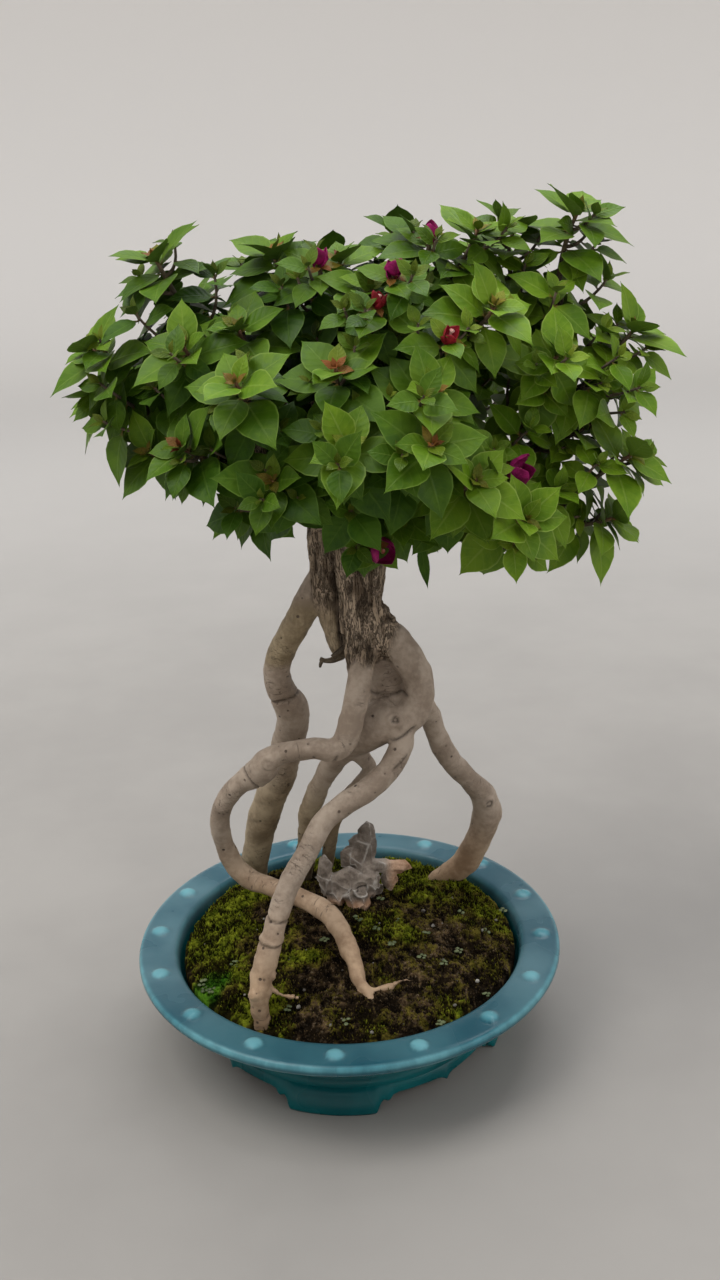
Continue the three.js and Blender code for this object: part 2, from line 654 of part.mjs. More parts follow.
// Turns, lifts and sizes that are tried in order until the blade clears its neighbours
const TRIES = [
  [0, 0, 1], [16, 0, 1], [-16, 0, 1], [0, 16, 1], [0, -16, 1], [30, 8, 1], [-30, 8, 1],
  [20, -18, 0.94], [-20, -18, 0.94], [46, 0, 0.92], [-46, 0, 0.92], [0, 32, 0.9], [60, 16, 0.86],
  [-60, 16, 0.86], [0, -34, 0.86], [30, 30, 0.8], [-30, 30, 0.8], [40, -36, 0.76],
];

// The place and direction of the stem at a distance below its tip
function stemPoint(shoot, down) {
  const rods = shoot.rods;
  let left = down;
  let k = rods.length - 1;
  while (k > 0 && left > rods[k].span.length()) {
    left -= rods[k].span.length();
    k -= 1;
  }
  const axis = rods[k].span.clone().normalize();
  const end = rods[k].a.clone().add(rods[k].span);
  return { root: end.addScaledVector(axis, -left), axis };
}

// Whether a blade is clear of all other shoots, their blades and the wood
function clear(blade, shoot) {
  const close = (thing, reach) => thing.middle.distanceTo(blade.middle) < reach;
  const near = TAKEN.filter((b) => b.owner !== shoot.name && close(b, BLADE_REACH));
  if (near.some((b) => reaches(blade, b) || reaches(b, blade))) return false;
  const rods = shoot.others.filter((rod) => close(rod, ROD_REACH));
  return !blade.samples.some((p) => rods.some((rod) => nearRod(p, rod)));
}

// Two directions square to a stem, to turn its leaves about
function crossWays(axis) {
  const first = new THREE.Vector3(0, 0, 1).cross(axis);
  if (first.length() < 0.2) first.set(1, 0, 0);
  first.addScaledVector(axis, -first.dot(axis)).normalize();
  return [first, new THREE.Vector3().crossVectors(axis, first)];
}

// The first of the tries for a blade that is clear, or null
function placedBlade(shoot, { down, turn, lift, length, width, droop }) {
  const { root, axis } = stemPoint(shoot, Math.min(down, shoot.length * 0.9));
  const [first, second] = crossWays(axis);
  for (const [extraTurn, extraLift, size] of TRIES) {
    const angle = radians(turn + extraTurn);
    const rise = radians(lift + extraLift);
    const way = first.clone().multiplyScalar(Math.cos(angle) * Math.cos(rise));
    way.addScaledVector(second, Math.sin(angle) * Math.cos(rise));
    way.addScaledVector(axis, Math.sin(rise)).normalize();
    const blade = makeBlade(root, way, axis, length * size, width * size, droop);
    blade.owner = shoot.name;
    if (clear(blade, shoot)) return blade;
  }
  return null;
}

// Shoots share one list of stems, so that each keeps clear of all the others
function makeShoots(rows) {
  const shoots = rows.map((row) => {
    const curve = twigCurve(row);
    const start = shootStart(curve, row[0]);
    const length = curve.getLength() * (1 - start);
    const from = start + SEAT_GAP / curve.getLength();
    const list = twigStations(curve, from, 1, 2, SHOOT_BASE_RADIUS, SHOOT_TIP_RADIUS);
    return { name: row[0], curve, start, length, list, rods: rodsOf(list) };
  });
  const wood = WOOD.flatMap((run) => rodsOf(run.list));
  shoots.forEach((shoot) => {
    const rest = shoots.filter((other) => other !== shoot).flatMap((other) => other.rods);
    shoot.others = wood.concat(rest);
  });
  return shoots;
}

// What row k of a shoot asks for; leaves differ a little in size and tilt, bracts are alike
function bladeWish(number, k, [down, share, lift, droop]) {
  const start = chance(number) * 360;
  if (number < BLOOMS.length) {
    const length = BRACT_LENGTH * share * BLOOMS[number][6];
    const turn = start + (k * 360) / BRACT_COUNT;
    return { down, turn, lift, droop, length, width: length * BRACT_WIDTH };
  }
  const length = LEAF_LENGTH * share * (0.94 + 0.12 * chance(number * 31 + k));
  const tilt = lift + 10 * (chance(number * 57 + k) - 0.5);
  const turn = start + k * GOLDEN_TURN;
  return { down, turn, lift: tilt, droop, length, width: length * LEAF_WIDTH };
}

const SHOOTS = makeShoots([...BLOOMS, ...SPRAYS]);
const TAKEN = [];

SHOOTS.forEach((shoot, number) => {
  const rows = number < BLOOMS.length ? BRACT_ROWS : LEAF_ROWS;
  rows.forEach((row, k) => {
    const blade = placedBlade(shoot, bladeWish(number, k, row));
    if (blade) TAKEN.push(blade);
  });
});

function shootSolid(shoot) {
  const stem = tube(shoot.list, TWIG_SIDES);
  const blades = TAKEN.filter((blade) => blade.owner === shoot.name);
  return joined([stem, ...blades.map(bladeSolid)]);
}

// The named pieces

function material(color, roughness) {
  return new THREE.MeshStandardMaterial({ color, roughness, metalness: 0 });
}

const bonsai = new THREE.Group();

function place(name, solid, finish) {
  const mesh = new THREE.Mesh(geometryOf(solid), finish);
  mesh.name = name;
  bonsai.add(mesh);
}

place('pot', pot(), material('#2f7f8f', 0.3));
place('soil', soil(), material('#4a4526', 0.95));
place('stone', stone(), material('#8d8a84', 0.8));
place('tree', tree(), material('#b3a58c', 0.8));
SHOOTS.forEach((shoot, number) => {
  const bloom = number < BLOOMS.length;
  const finish = bloom ? material('#c2186b', 0.6) : material('#5c9a32', 0.5);
  place(bloom ? shoot.name : `spray_${shoot.name}`, shootSolid(shoot), finish);
});

// The whole stands on the ground with the middle of its box over the origin
const box = new THREE.Box3().setFromObject(bonsai);
const middle = box.getCenter(new THREE.Vector3());
bonsai.position.set(-middle.x, -middle.y, -box.min.z);

export default bonsai;
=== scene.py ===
# %% [markdown]
# # A bougainvillea bonsai in a glazed pot
#
# This notebook dresses a small tree for the camera. The tree stands on its own roots over a
# stone, in a round blue-green pot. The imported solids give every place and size. Each cell makes
# one thing: first the frame and some tools, then the camera and the light, and then the pot, the
# soil, the stone, the wood, the leaves and the bracts.

import math

import bpy
import numpy as np
from mathutils import Matrix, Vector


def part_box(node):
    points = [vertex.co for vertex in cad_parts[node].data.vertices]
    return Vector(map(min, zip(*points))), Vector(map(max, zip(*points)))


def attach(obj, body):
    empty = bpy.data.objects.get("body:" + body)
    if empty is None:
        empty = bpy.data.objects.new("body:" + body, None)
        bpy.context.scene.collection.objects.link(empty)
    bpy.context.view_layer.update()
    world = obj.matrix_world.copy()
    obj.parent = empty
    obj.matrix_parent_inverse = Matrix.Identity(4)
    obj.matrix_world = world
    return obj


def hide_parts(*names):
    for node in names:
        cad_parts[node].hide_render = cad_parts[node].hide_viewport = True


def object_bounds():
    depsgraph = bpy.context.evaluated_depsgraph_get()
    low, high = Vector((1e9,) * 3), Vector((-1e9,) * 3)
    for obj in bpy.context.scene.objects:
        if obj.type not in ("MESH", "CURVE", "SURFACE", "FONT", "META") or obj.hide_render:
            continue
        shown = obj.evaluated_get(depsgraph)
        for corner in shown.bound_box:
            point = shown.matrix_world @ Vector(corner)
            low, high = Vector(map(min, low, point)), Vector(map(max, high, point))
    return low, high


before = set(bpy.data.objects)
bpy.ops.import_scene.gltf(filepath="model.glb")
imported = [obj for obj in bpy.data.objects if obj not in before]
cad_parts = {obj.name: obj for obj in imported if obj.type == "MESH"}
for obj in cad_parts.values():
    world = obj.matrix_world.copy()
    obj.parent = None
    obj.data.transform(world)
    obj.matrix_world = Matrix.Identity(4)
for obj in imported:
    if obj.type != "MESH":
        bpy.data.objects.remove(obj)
cad_low, cad_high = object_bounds()
print("solids in the frame:", len(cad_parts))

# %% [markdown]
# ## Millimetres about the pot's axis
#
# A potter measures from the middle of the wheel, so the sizes here are millimetres from the
# pot's axis. The frame wants metres from the middle of the whole object's box. Two helpers turn
# one into the other.

# %% Sizes from the pot's axis
pot_low, pot_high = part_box("pot")
POT_AXIS = np.array([(pot_low[0] + pot_high[0]) / 2, (pot_low[1] + pot_high[1]) / 2, 0.0])


def to_row(points):
    """Millimetres about the pot's axis, turned into metres in the frame: p / 1000 + axis."""
    return np.asarray(points, float) / 1000 + POT_AXIS


def to_pot(points):
    """Metres in the frame, turned into millimetres about the pot's axis: (p - axis) * 1000."""
    return (np.asarray(points, float) - POT_AXIS) * 1000


ROOM_LOW = to_pot(list(cad_low))
ROOM_HIGH = to_pot(list(cad_high))
print("pot axis at", POT_AXIS.round(4))

# %% [markdown]
# ## Meshes from arrays
#
# Each surface is worked out as whole arrays of points, so the mesh helper takes points and
# faces. A grid of points that closes on itself gives a tube or a bowl, and an open one a sheet.

# %% Meshes and grids
def new_piece(name, points, faces, finishes, face_finish=None):
    """A shaded-smooth object at the origin; face_finish picks one of the finishes per face."""
    mesh = bpy.data.meshes.new(name)
    mesh.from_pydata(to_row(points).tolist(), [], faces)
    for finish in finishes:
        mesh.materials.append(finish)
    mesh.polygons.foreach_set("use_smooth", np.ones(len(mesh.polygons), bool))
    if face_finish is not None:
        mesh.polygons.foreach_set("material_index", np.asarray(face_finish, np.int32))
    mesh.update()
    item = bpy.data.objects.new(name, mesh)
    bpy.context.scene.collection.objects.link(item)
    return item


def grid_faces(rows, columns, close_columns=False, start=0):
    """Quads of a grid of points in row order; the last column may join the first."""
    wide = columns if close_columns else columns - 1
    i, j = np.meshgrid(np.arange(rows - 1), np.arange(wide), indexing="ij")
    a = i * columns + j
    b = i * columns + (j + 1) % columns
    quads = np.stack([a, b, b + columns, a + columns], -1).reshape(-1, 4)
    return (quads + start).tolist()


def closed_faces(rows, columns, start=0):
    """Quads of a grid that closes round, and one many-sided face over each end."""
    first = list(range(start + columns - 1, start - 1, -1))
    last = list(range(start + (rows - 1) * columns, start + rows * columns))
    return grid_faces(rows, columns, True, start) + [first, last]


def circle(parts):
    """Angles all the way round, at even steps."""
    return np.linspace(0, 2 * math.pi, parts, endpoint=False)


def turned(radius, height, segments):
    """A shape off the potter's wheel: each radius and height becomes one ring of points."""
    x = radius[:, None] * np.cos(circle(segments))
    y = radius[:, None] * np.sin(circle(segments))
    z = np.broadcast_to(height[:, None], x.shape)
    return np.stack([x, y, z], -1).reshape(-1, 3)


def give_values(item, **layers):
    """Stores one number for each point of the mesh under each name, for its material to read."""
    for name, values in layers.items():
        layer = item.data.attributes.new(name, "FLOAT", "POINT")
        layer.data.foreach_set("value", np.asarray(values, np.float32))


def read_all(items, name, width=1, kind=float):
    """One value of every vertex, corner, face or edge, as an array."""
    values = np.zeros(len(items) * width, kind)
    items.foreach_get(name, values)
    return values.reshape(-1, width) if width > 1 else values


def count(item):
    """Triangles in a mesh: a face of n corners makes n - 2."""
    item.data.calc_loop_triangles()
    return len(item.data.loop_triangles)


# %% [markdown]
# ## Repeatable randomness
#
# Nothing in a plant is quite even. The helpers give random-looking numbers that are the same on
# each run: one for counting leaves, and one that is smooth in space, for lumps and furrows.

# %% Chance and smooth noise
def chance(n):
    """A number from 0 to 1 for each n: the fraction of sin(127.1 n + 11.7) times 43758.5453."""
    wave = np.sin(n * 127.1 + 11.7) * 43758.5453
    return wave - np.floor(wave)


def corner_value(i, j, k, seed):
    """A number from -1 to 1 for each whole-number corner of space."""
    wave = np.sin(i * 12.9898 + j * 78.233 + k * 37.719 + seed * 9.131) * 43758.5453
    return 2 * (wave - np.floor(wave)) - 1


def cloud(points, size, seed=0):
    """Smooth noise from -1 to 1: corner values of a grid, blended by 3f^2 - 2f^3 on each axis."""
    place = np.asarray(points, float) / size
    cell = np.floor(place)
    share = place - cell
    share = share * share * (3 - 2 * share)
    total = np.zeros(len(place))
    for dx, dy, dz in np.ndindex(2, 2, 2):
        weight = np.abs(1 - dx - share[:, 0]) * np.abs(1 - dy - share[:, 1])
        weight = weight * np.abs(1 - dz - share[:, 2])
        total += weight * corner_value(cell[:, 0] + dx, cell[:, 1] + dy, cell[:, 2] + dz, seed)
    return total


def layered(points, size, layers, seed=0):
    """Noise in layers: each has half the size and half the height of the one before."""
    return sum(cloud(points, size / 2**n, seed + 7 * n) / 2**n for n in range(layers))


def ease(low, high, value):
    """0 below low, 1 above high, and 3s^2 - 2s^3 between them."""
    s = np.clip((np.asarray(value, float) - low) / (high - low), 0, 1)
    return s * s * (3 - 2 * s)


def bell(distance, width):
    """A bell curve: 1 at distance 0, then exp(-(distance / width)^2)."""
    return np.exp(-((distance / width) ** 2))


def gap_to(points, place):
    """How far each point lies from one place."""
    return np.linalg.norm(points - np.array(place), axis=1)


# %% [markdown]
# ## The camera
#
# The photograph was taken from above the rim, about a metre away. The place and the lens were
# worked out from the rim's ellipse, the ring of studs and the feet, so the camera here stands
# where the photographer stood. The picture was a little tilted, and so is the camera.

# %% Camera at the photograph's angle
PHOTO_HEIGHT = 1280
PIXELS_PER_SLOPE = 1340.0
PITCH = math.radians(20.7)
ROLL = math.radians(1.97)
DISTANCE = 1156.0
ASIDE = -18.0
RAISED = -249.7
RIM_PLANE = 88.0

right = np.array([1.0, 0.0, 0.0])
upward = np.array([0.0, math.sin(PITCH), math.cos(PITCH)])
forward = np.array([0.0, math.cos(PITCH), -math.sin(PITCH)])
eye = np.array([0, 0, RIM_PLANE]) - (right * ASIDE + upward * RAISED + forward * DISTANCE)
tilted_right = math.cos(ROLL) * right - math.sin(ROLL) * upward
tilted_up = math.sin(ROLL) * right + math.cos(ROLL) * upward

lens = bpy.data.cameras.new("camera")
lens.sensor_width = 36
lens.lens = PIXELS_PER_SLOPE * lens.sensor_width / PHOTO_HEIGHT
lens.clip_start = 0.01
camera = bpy.data.objects.new("camera", lens)
turn = Matrix([tilted_right, tilted_up, -forward]).transposed().to_4x4()
camera.matrix_world = Matrix.Translation(to_row(eye).tolist()) @ turn
bpy.context.scene.collection.objects.link(camera)
bpy.context.scene.camera = camera
print("camera at", to_row(eye).round(3), "lens", round(lens.lens, 1), "mm")

# %% [markdown]
# ## Shader helpers
#
# A material is a small graph of nodes. These helpers add a node, set its values and link it in
# one line, so that a finish reads like a recipe.

# %% Node helpers
def fill(tree, node, inputs):
    """Gives each named or numbered socket of a node its value or its link from another socket."""
    for key, value in inputs.items():
        if isinstance(value, bpy.types.NodeSocket):
            tree.links.new(value, node.inputs[key])
        else:
            node.inputs[key].default_value = value


def add(tree, kind, inputs=None, **settings):
    """Adds a node with its settings and its inputs."""
    node = tree.nodes.new(kind)
    for key, value in settings.items():
        setattr(node, key, value)
    fill(tree, node, inputs or {})
    return node


def calc(tree, operation, first, second=0.0):
    """One sum on numbers that vary over the surface."""
    node = add(tree, "ShaderNodeMath", {0: first, 1: second}, operation=operation)
    return node.outputs[0]


def times(tree, first, second):
    """The product of two numbers."""
    return calc(tree, "MULTIPLY", first, second)


def opaque(colour):
    """A plain colour with its alpha of 1; a socket stays as it is."""
    return (*colour, 1) if isinstance(colour, tuple) else colour


def mixed(tree, share, first, second, way="MIX"):
    """A colour between two colours, or their product."""
    values = {0: share, 6: opaque(first), 7: opaque(second)}
    node = add(tree, "ShaderNodeMix", values, data_type="RGBA", blend_type=way)
    return node.outputs[2]


def spread(tree, value, low, high, start=0.0, end=1.0):
    """Moves the span from low to high onto start to end, with soft ends."""
    values = {0: value, 1: low, 2: high, 3: start, 4: end}
    node = add(tree, "ShaderNodeMapRange", values, interpolation_type="SMOOTHSTEP")
    return node.outputs[0]


def read(tree, name):
    """The number that the mesh stores under this name."""
    return add(tree, "ShaderNodeAttribute", attribute_name=name).outputs["Fac"]


def noise(tree, place, scale, detail=3.0, roughness=0.55):
    """Blender's own noise, from 0 to 1; scale counts waves in a metre."""
    values = {"Vector": place, "Scale": scale, "Detail": detail, "Roughness": roughness}
    return add(tree, "ShaderNodeTexNoise", values).outputs[0]


def bumped(tree, height, depth, strength=1.0):
    """A normal that leans with the height; depth is in metres."""
    values = {"Height": height, "Distance": depth, "Strength": strength}
    return add(tree, "ShaderNodeBump", values).outputs[0]


def to_shader(tree, **sockets):
    """Fills sockets of the Principled shader; an underscore in a name stands for a space."""
    named = {key.replace("_", " "): value for key, value in sockets.items()}
    fill(tree, tree.nodes["Principled BSDF"], named)


def new_finish(name, **sockets):
    """A material, its graph, and the object coordinates, which stay with the piece."""
    finish = bpy.data.materials.new(name)
    finish.use_nodes = True
    tree = finish.node_tree
    to_shader(tree, **sockets)
    return finish, tree, add(tree, "ShaderNodeTexCoord").outputs["Object"]


# %% [markdown]
# ## One group for mottling
#
# Glaze, bark, rock, soil and leaf are all uneven in the same way: large soft patches with finer
# grain inside them. That is made once as a node group with a size, and every finish uses it.

# %% Mottling group
def mottling_group():
    """Patches plus grain: 0.65 of coarse noise and 0.35 of noise six times finer."""
    group = bpy.data.node_groups.new("mottling", "ShaderNodeTree")
    for name, kind in (("Vector", "NodeSocketVector"), ("Scale", "NodeSocketFloat")):
        group.interface.new_socket(name, in_out="INPUT", socket_type=kind)
    group.interface.new_socket("Mask", in_out="OUTPUT", socket_type="NodeSocketFloat")
    given = add(group, "NodeGroupInput")
    coarse = noise(group, given.outputs["Vector"], given.outputs["Scale"], 2.0)
    finer = times(group, given.outputs["Scale"], 6.0)
    grain = noise(group, given.outputs["Vector"], finer, 3.0, 0.6)
    both = calc(group, "ADD", times(group, coarse, 0.65), times(group, grain, 0.35))
    add(group, "NodeGroupOutput", {"Mask": spread(group, both, 0.36, 0.64)})
    return group


MOTTLING = mottling_group()


def mottled(tree, place, scale):
    """The mask of the mottling group, from 0 to 1."""
    node = add(tree, "ShaderNodeGroup", node_tree=MOTTLING)
    fill(tree, node, {"Vector": place, "Scale": scale})
    return node.outputs["Mask"]


def two_tone(name, scale, dark, light, **sockets):
    """A finish that is mottled between two colours; scale counts patches in a metre."""
    finish, tree, place = new_finish(name, **sockets)
    to_shader(tree, Base_Color=mixed(tree, mottled(tree, place, scale), dark, light))
    return finish


# %% [markdown]
# ## Floor and light
#
# The floor is a wide pale disc that curves up into a low wall, so no edge shows behind the tree
# from any side. Its colour grows paler far away: painted light, as on a lit backdrop. Three
# broad lamps give the soft light of an overcast yard, with the brightest one high on the left.

# %% Floor
FLOOR_REACH = 3400
FLOOR_BEND = 1600
WALL_HEIGHT = 3600
FLOOR_RINGS = 12
FLOOR_SEGMENTS = 96


def floor_outline():
    """A flat disc that turns up along a quarter circle into a wall, as radius and height."""
    bend = np.linspace(0, math.pi / 2, FLOOR_RINGS)
    flat = np.linspace(0.05, FLOOR_REACH, FLOOR_RINGS, endpoint=False)
    radius = np.concatenate([flat, FLOOR_REACH + FLOOR_BEND * np.sin(bend), [FLOOR_REACH + FLOOR_BEND]])
    height = np.concatenate([flat * 0, FLOOR_BEND * (1 - np.cos(bend)), [WALL_HEIGHT]])
    return radius, height


pale, tree, place = new_finish("pale_floor", Roughness=0.85)
reach = add(tree, "ShaderNodeVectorMath", {0: place}, operation="LENGTH").outputs["Value"]
near_tone = mixed(tree, mottled(tree, place, 1.2), (0.29, 0.275, 0.256), (0.33, 0.313, 0.291))
# Painted light: the floor and the wall turn paler with distance from the middle.
far_painted_light_tone = mixed(tree, spread(tree, reach, 2.5, 4.7), (0.61, 0.588, 0.557), (0.86, 0.83, 0.79))
tone = mixed(tree, spread(tree, reach, 0.35, 2.8), near_tone, far_painted_light_tone)
to_shader(tree, Base_Color=tone)
radius, height = floor_outline()
open_on_top = closed_faces(len(radius), FLOOR_SEGMENTS)[:-1]
floor = new_piece("floor", turned(radius, height, FLOOR_SEGMENTS), open_on_top, [pale])

# %% Lamps
def lamp(name, place, size, power, colour):
    """A square area lamp in metres that looks at the middle of the tree."""
    light = bpy.data.lights.new(name, "AREA")
    light.size = size
    light.energy = power
    light.color = colour
    item = bpy.data.objects.new(name, light)
    item.location = place
    aim = Matrix.Translation((0, 0, 0.35)).translation - item.location
    item.rotation_euler = aim.to_track_quat("-Z", "Y").to_euler()
    bpy.context.scene.collection.objects.link(item)


lamp("key", (-1.4, -0.6, 2.8), 1.7, 50, (1.0, 0.98, 0.95))
lamp("fill", (2.3, -1.1, 1.7), 2.0, 15, (0.97, 0.98, 1.0))
lamp("top", (0.3, 0.8, 2.9), 2.0, 46, (0.97, 0.98, 1.0))
sky = bpy.data.worlds.new("sky")
sky.use_nodes = True
background = sky.node_tree.nodes["Background"]
fill(sky.node_tree, background, {"Color": (0.93, 0.95, 1.0, 1), "Strength": 0.58})
bpy.context.scene.world = sky
bpy.context.scene.view_settings.view_transform = "Standard"

# %% [markdown]
# ## Smooth lines through a few points
#
# Roots, limbs and the pot's outline are known at a few measured points. A smooth curve through
# them gives as many in-between points as the surface needs. The radius is carried along with
# the place, so a root swells and thins where the measured one does.

# %% Smooth line
def smooth_line(rows, step):
    """A curve through the rows: on each span a cubic whose end slopes lean on the neighbours,
    weighed by the square roots of the spans; all columns are carried along."""
    given = np.asarray(rows, float)
    ends = np.vstack([2 * given[0] - given[1], given, 2 * given[-1] - given[-2]])
    span = np.linalg.norm(np.diff(ends[:, :3], axis=0), axis=1) ** 0.5
    before, here, after, beyond = ends[:-3], ends[1:-2], ends[2:-1], ends[3:]
    d0, d1, d2 = (span[:-2, None], span[1:-1, None], span[2:, None])
    slope_in = d1 * ((here - before) / d0 - (after - before) / (d0 + d1) + (after - here) / d1)
    slope_out = d1 * ((after - here) / d1 - (beyond - here) / (d1 + d2) + (beyond - after) / d2)
    pieces = []
    for k in range(len(given) - 1):
        parts = max(int(np.ceil(span[k + 1] ** 2 / step)), 1)
        t = np.linspace(0, 1, parts, endpoint=False)[:, None]
        cubic = 2 * (here[k] - after[k]) + slope_in[k] + slope_out[k]
        square = 3 * (after[k] - here[k]) - 2 * slope_in[k] - slope_out[k]
        pieces.append(here[k] + slope_in[k] * t + square * t**2 + cubic * t**3)
    return np.vstack(pieces + [given[-1:]])


# %% [markdown]
# ## The pot
#
# A potter throws the bowl on a wheel, so its wall is an outline turned about the axis. The
# studs are small pads of clay on the rim. Here they lift the rim's surface with a smooth dome,
# which leaves no seam. The feet and the scalloped apron between them are cut from a ring, so
# the ring's lower edge is a height that changes with the angle.

# %% Outline of the bowl
POT_OUTLINE = [
    (0, 13), (60, 13), (104, 13), (112, 14), (121, 18), (123, 22), (122.6, 26), (119.6, 29.2),
    (122, 32.6), (128, 36.6), (134, 41), (140.5, 48), (145, 55), (148, 63), (149.6, 69.6),
    (153, 72.4), (160, 73.7), (168, 74.2), (174, 74.9), (178.2, 76.6), (179.9, 79.4),
    (179.8, 82.2), (178.4, 84.4), (175.4, 85.4), (171, 85.5), (165, 85.5), (158, 85.4),
    (152, 85), (148.8, 83.6), (147.2, 81), (146, 76), (145, 70), (143, 62), (139, 55), (134, 47.5),
    (128, 41), (120, 36), (113, 32), (108, 27), (100, 24), (60, 24), (0, 24),
]
STUD_COUNT = 16
STUD_CIRCLE = 165
STUD_SPREAD = 8.3
STUD_LIFT = 3.0
STUD_START = math.radians(153.5)
RIM_TOP = 84.2
POT_STEP = 3.4
POT_SEGMENTS = 480


def stud_share(x, y):
    """1 on a stud's top and 0 outside it: (1 - (d / spread)^2) to the power 0.8."""
    angle = np.arctan2(y, x) - STUD_START
    part = 2 * math.pi / STUD_COUNT
    near = np.round(angle / part) * part + STUD_START
    gap = np.hypot(x - STUD_CIRCLE * np.cos(near), y - STUD_CIRCLE * np.sin(near))
    return np.clip(1 - (gap / STUD_SPREAD) ** 2, 0, 1) ** 0.8


def bowl():
    """The outline turned about the axis; where it is the rim's top, the studs lift it."""
    line = smooth_line([(r, 0, z) for r, z in POT_OUTLINE], POT_STEP)
    points = turned(np.maximum(line[:, 0], 0.02), line[:, 2], POT_SEGMENTS)
    x, y, z = points.T.copy()
    lift = stud_share(x, y) * (z > RIM_TOP)
    points[:, 2] = z + STUD_LIFT * lift
    return points, closed_faces(len(line), POT_SEGMENTS), lift


# %% Feet and apron
FOOT_TURN = math.radians(-97.5)
FOOT_EDGE = [
    (0, 0), (15.3, 0), (16.2, 1.2), (16.9, 5), (18.5, 8.8), (20.3, 7.6), (21.3, 8.2), (22.5, 10.9),
    (25, 12), (33, 12.1), (41, 11.6), (43.2, 10.6), (45, 8.2),
]
FOOT_REACH = 131
APRON_REACH = 124
APRON_BACK = 106
APRON_RISE = 12
RING_TOP = 23
RING_COLUMNS = 480


def lower_edge(turn):
    """Height of the ring's lower edge: the list above, mirrored about each foot's middle."""
    quarter = math.pi / 2
    away = np.abs((turn - FOOT_TURN + quarter / 2) % quarter - quarter / 2)
    degrees, heights = np.array(FOOT_EDGE).T
    return np.interp(np.degrees(away), degrees, heights)


def foot_ring():
    """At each angle a closed loop from the back down, round and up; the last joins the first."""
    turn = circle(RING_COLUMNS)
    low = lower_edge(turn)
    reach = FOOT_REACH + (APRON_REACH - FOOT_REACH) * np.clip(low / APRON_RISE, 0, 1)
    share = np.array([0, 0, 0.04, 0.5, 0.92, 0.985, 1, 1, 1])
    rise = np.array([1, 0.1, 0, 0, 0, 0.03, 0.12, 0.45, 1])
    bulge = np.array([0, 0, 0, 0, 0, 0, 0, 0.35, 1])
    outer = reach[:, None] * (1 - bulge) + APRON_REACH * bulge * 0.985
    radius = APRON_BACK + (outer - APRON_BACK) * share
    z = low[:, None] + (RING_TOP - low[:, None]) * rise
    x = radius * np.cos(turn)[:, None]
    y = radius * np.sin(turn)[:, None]
    points = np.stack([x, y, z], -1).reshape(-1, 3)
    faces = np.array(grid_faces(RING_COLUMNS + 1, len(share), True))
    return points, faces % len(points)


# %% [markdown]
# ### The glaze
#
# The glaze is a thick blue-green glass. It runs off edges while it melts, so the rim's edge and
# the studs come out paler, and it pools dark and greener on the wall below. The rim's outer edge
# also carries a painted highlight. The mesh stores how thin the glaze is, with that highlight
# added, and the finish turns that into colour.

# %% Glaze
def glaze_finish():
    """Blue on the rim with painted shade on its front, green-blue below, pale where the glaze is thin and
    along the rim's edge as a painted highlight, with a clear gloss.
    """
    gloss = {"Coat_Weight": 0.08, "Coat_Roughness": 0.12, "Specular_IOR_Level": 0.22}
    finish, tree, place = new_finish("blue_green_glaze", **gloss)
    axes = add(tree, "ShaderNodeSeparateXYZ", {0: place}).outputs
    cloudy = spread(tree, noise(tree, place, 15, 3.0, 0.45), 0.33, 0.67)
    # Painted shade: the rim's front gets a darker glaze than its sides, by Y.
    side = mixed(tree, cloudy, (0.032, 0.096, 0.128), (0.078, 0.168, 0.2))
    front = mixed(tree, cloudy, (0.01, 0.068, 0.096), (0.034, 0.122, 0.152))
    rim = mixed(tree, spread(tree, axes["Y"], -0.155, -0.06), front, side)
    wall = mixed(tree, cloudy, (0.0005, 0.074, 0.084), (0.001, 0.122, 0.134))
    body = mixed(tree, spread(tree, axes["Z"], 0.070, 0.079), wall, rim)
    stretched = add(tree, "ShaderNodeMapping", {"Vector": place, "Scale": (1, 1, 0.2)}).outputs[0]
    runs = spread(tree, noise(tree, stretched, 90, 3.0), 0.35, 0.7, 0.75, 1.15)
    thin = times(tree, read(tree, "thin"), runs)
    pale_glaze = mixed(tree, cloudy, (0.078, 0.275, 0.325), (0.15, 0.39, 0.44))
    # Pale where the glaze is thin, and along the rim's outer edge a painted highlight.
    colour = mixed(tree, spread(tree, thin, 0.05, 1.0, 0.0, 0.85), body, pale_glaze)
    waves = bumped(tree, noise(tree, place, 60, 2.0), 0.0003)
    to_shader(tree, Base_Color=colour, Roughness=spread(tree, cloudy, 0, 1, 0.24, 0.40), Normal=waves)
    return finish


# %% Set up the pot
bowl_points, bowl_faces, stud_lift = bowl()
ring_points, ring_faces = foot_ring()
pot_faces = bowl_faces + (ring_faces + len(bowl_points)).tolist()
pot = new_piece("glazed_pot", np.vstack([bowl_points, ring_points]), pot_faces, [glaze_finish()])
reach = np.hypot(bowl_points[:, 0], bowl_points[:, 1])
height = bowl_points[:, 2]
# The band along the rim's outer edge is thin glaze and a painted highlight.
edge = bell(np.hypot(reach - 179.3, height - 83.4), 1.9)
lower_lip = bell(np.hypot(reach - 178.6, height - 77.5), 2.2)
inner_edge = ease(151, 147.5, reach) * ease(76, 84, height) * 0.5
thin_glaze_and_edge_highlight = np.max([stud_lift * 1.3, edge * 1.1, lower_lip * 0.7, inner_edge], axis=0)
give_values(pot, thin=np.concatenate([thin_glaze_and_edge_highlight, np.zeros(len(ring_points))]))
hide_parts("pot")
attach(pot, "root")
print("pot:", count(pot), "triangles")

# %% [markdown]
# ## The soil and its moss
#
# The soil is a mound that stands higher than the rim in the middle. Moss covers it in cushions
# with dark earth between them. It is one sheet over the mound whose height is the mound's own
# height plus noise in layers: broad cushions, then small tufts.

# %% Height of the mound
SOIL_RADIUS = 140
SOIL_EDGE = 79
SOIL_CROWN = 22
SOIL_REACH = 141.5
SOIL_UNDER = np.array([(142.4, 70), (137, 54), (104, 25)])
SOIL_RINGS = 128
SOIL_SEGMENTS = 470


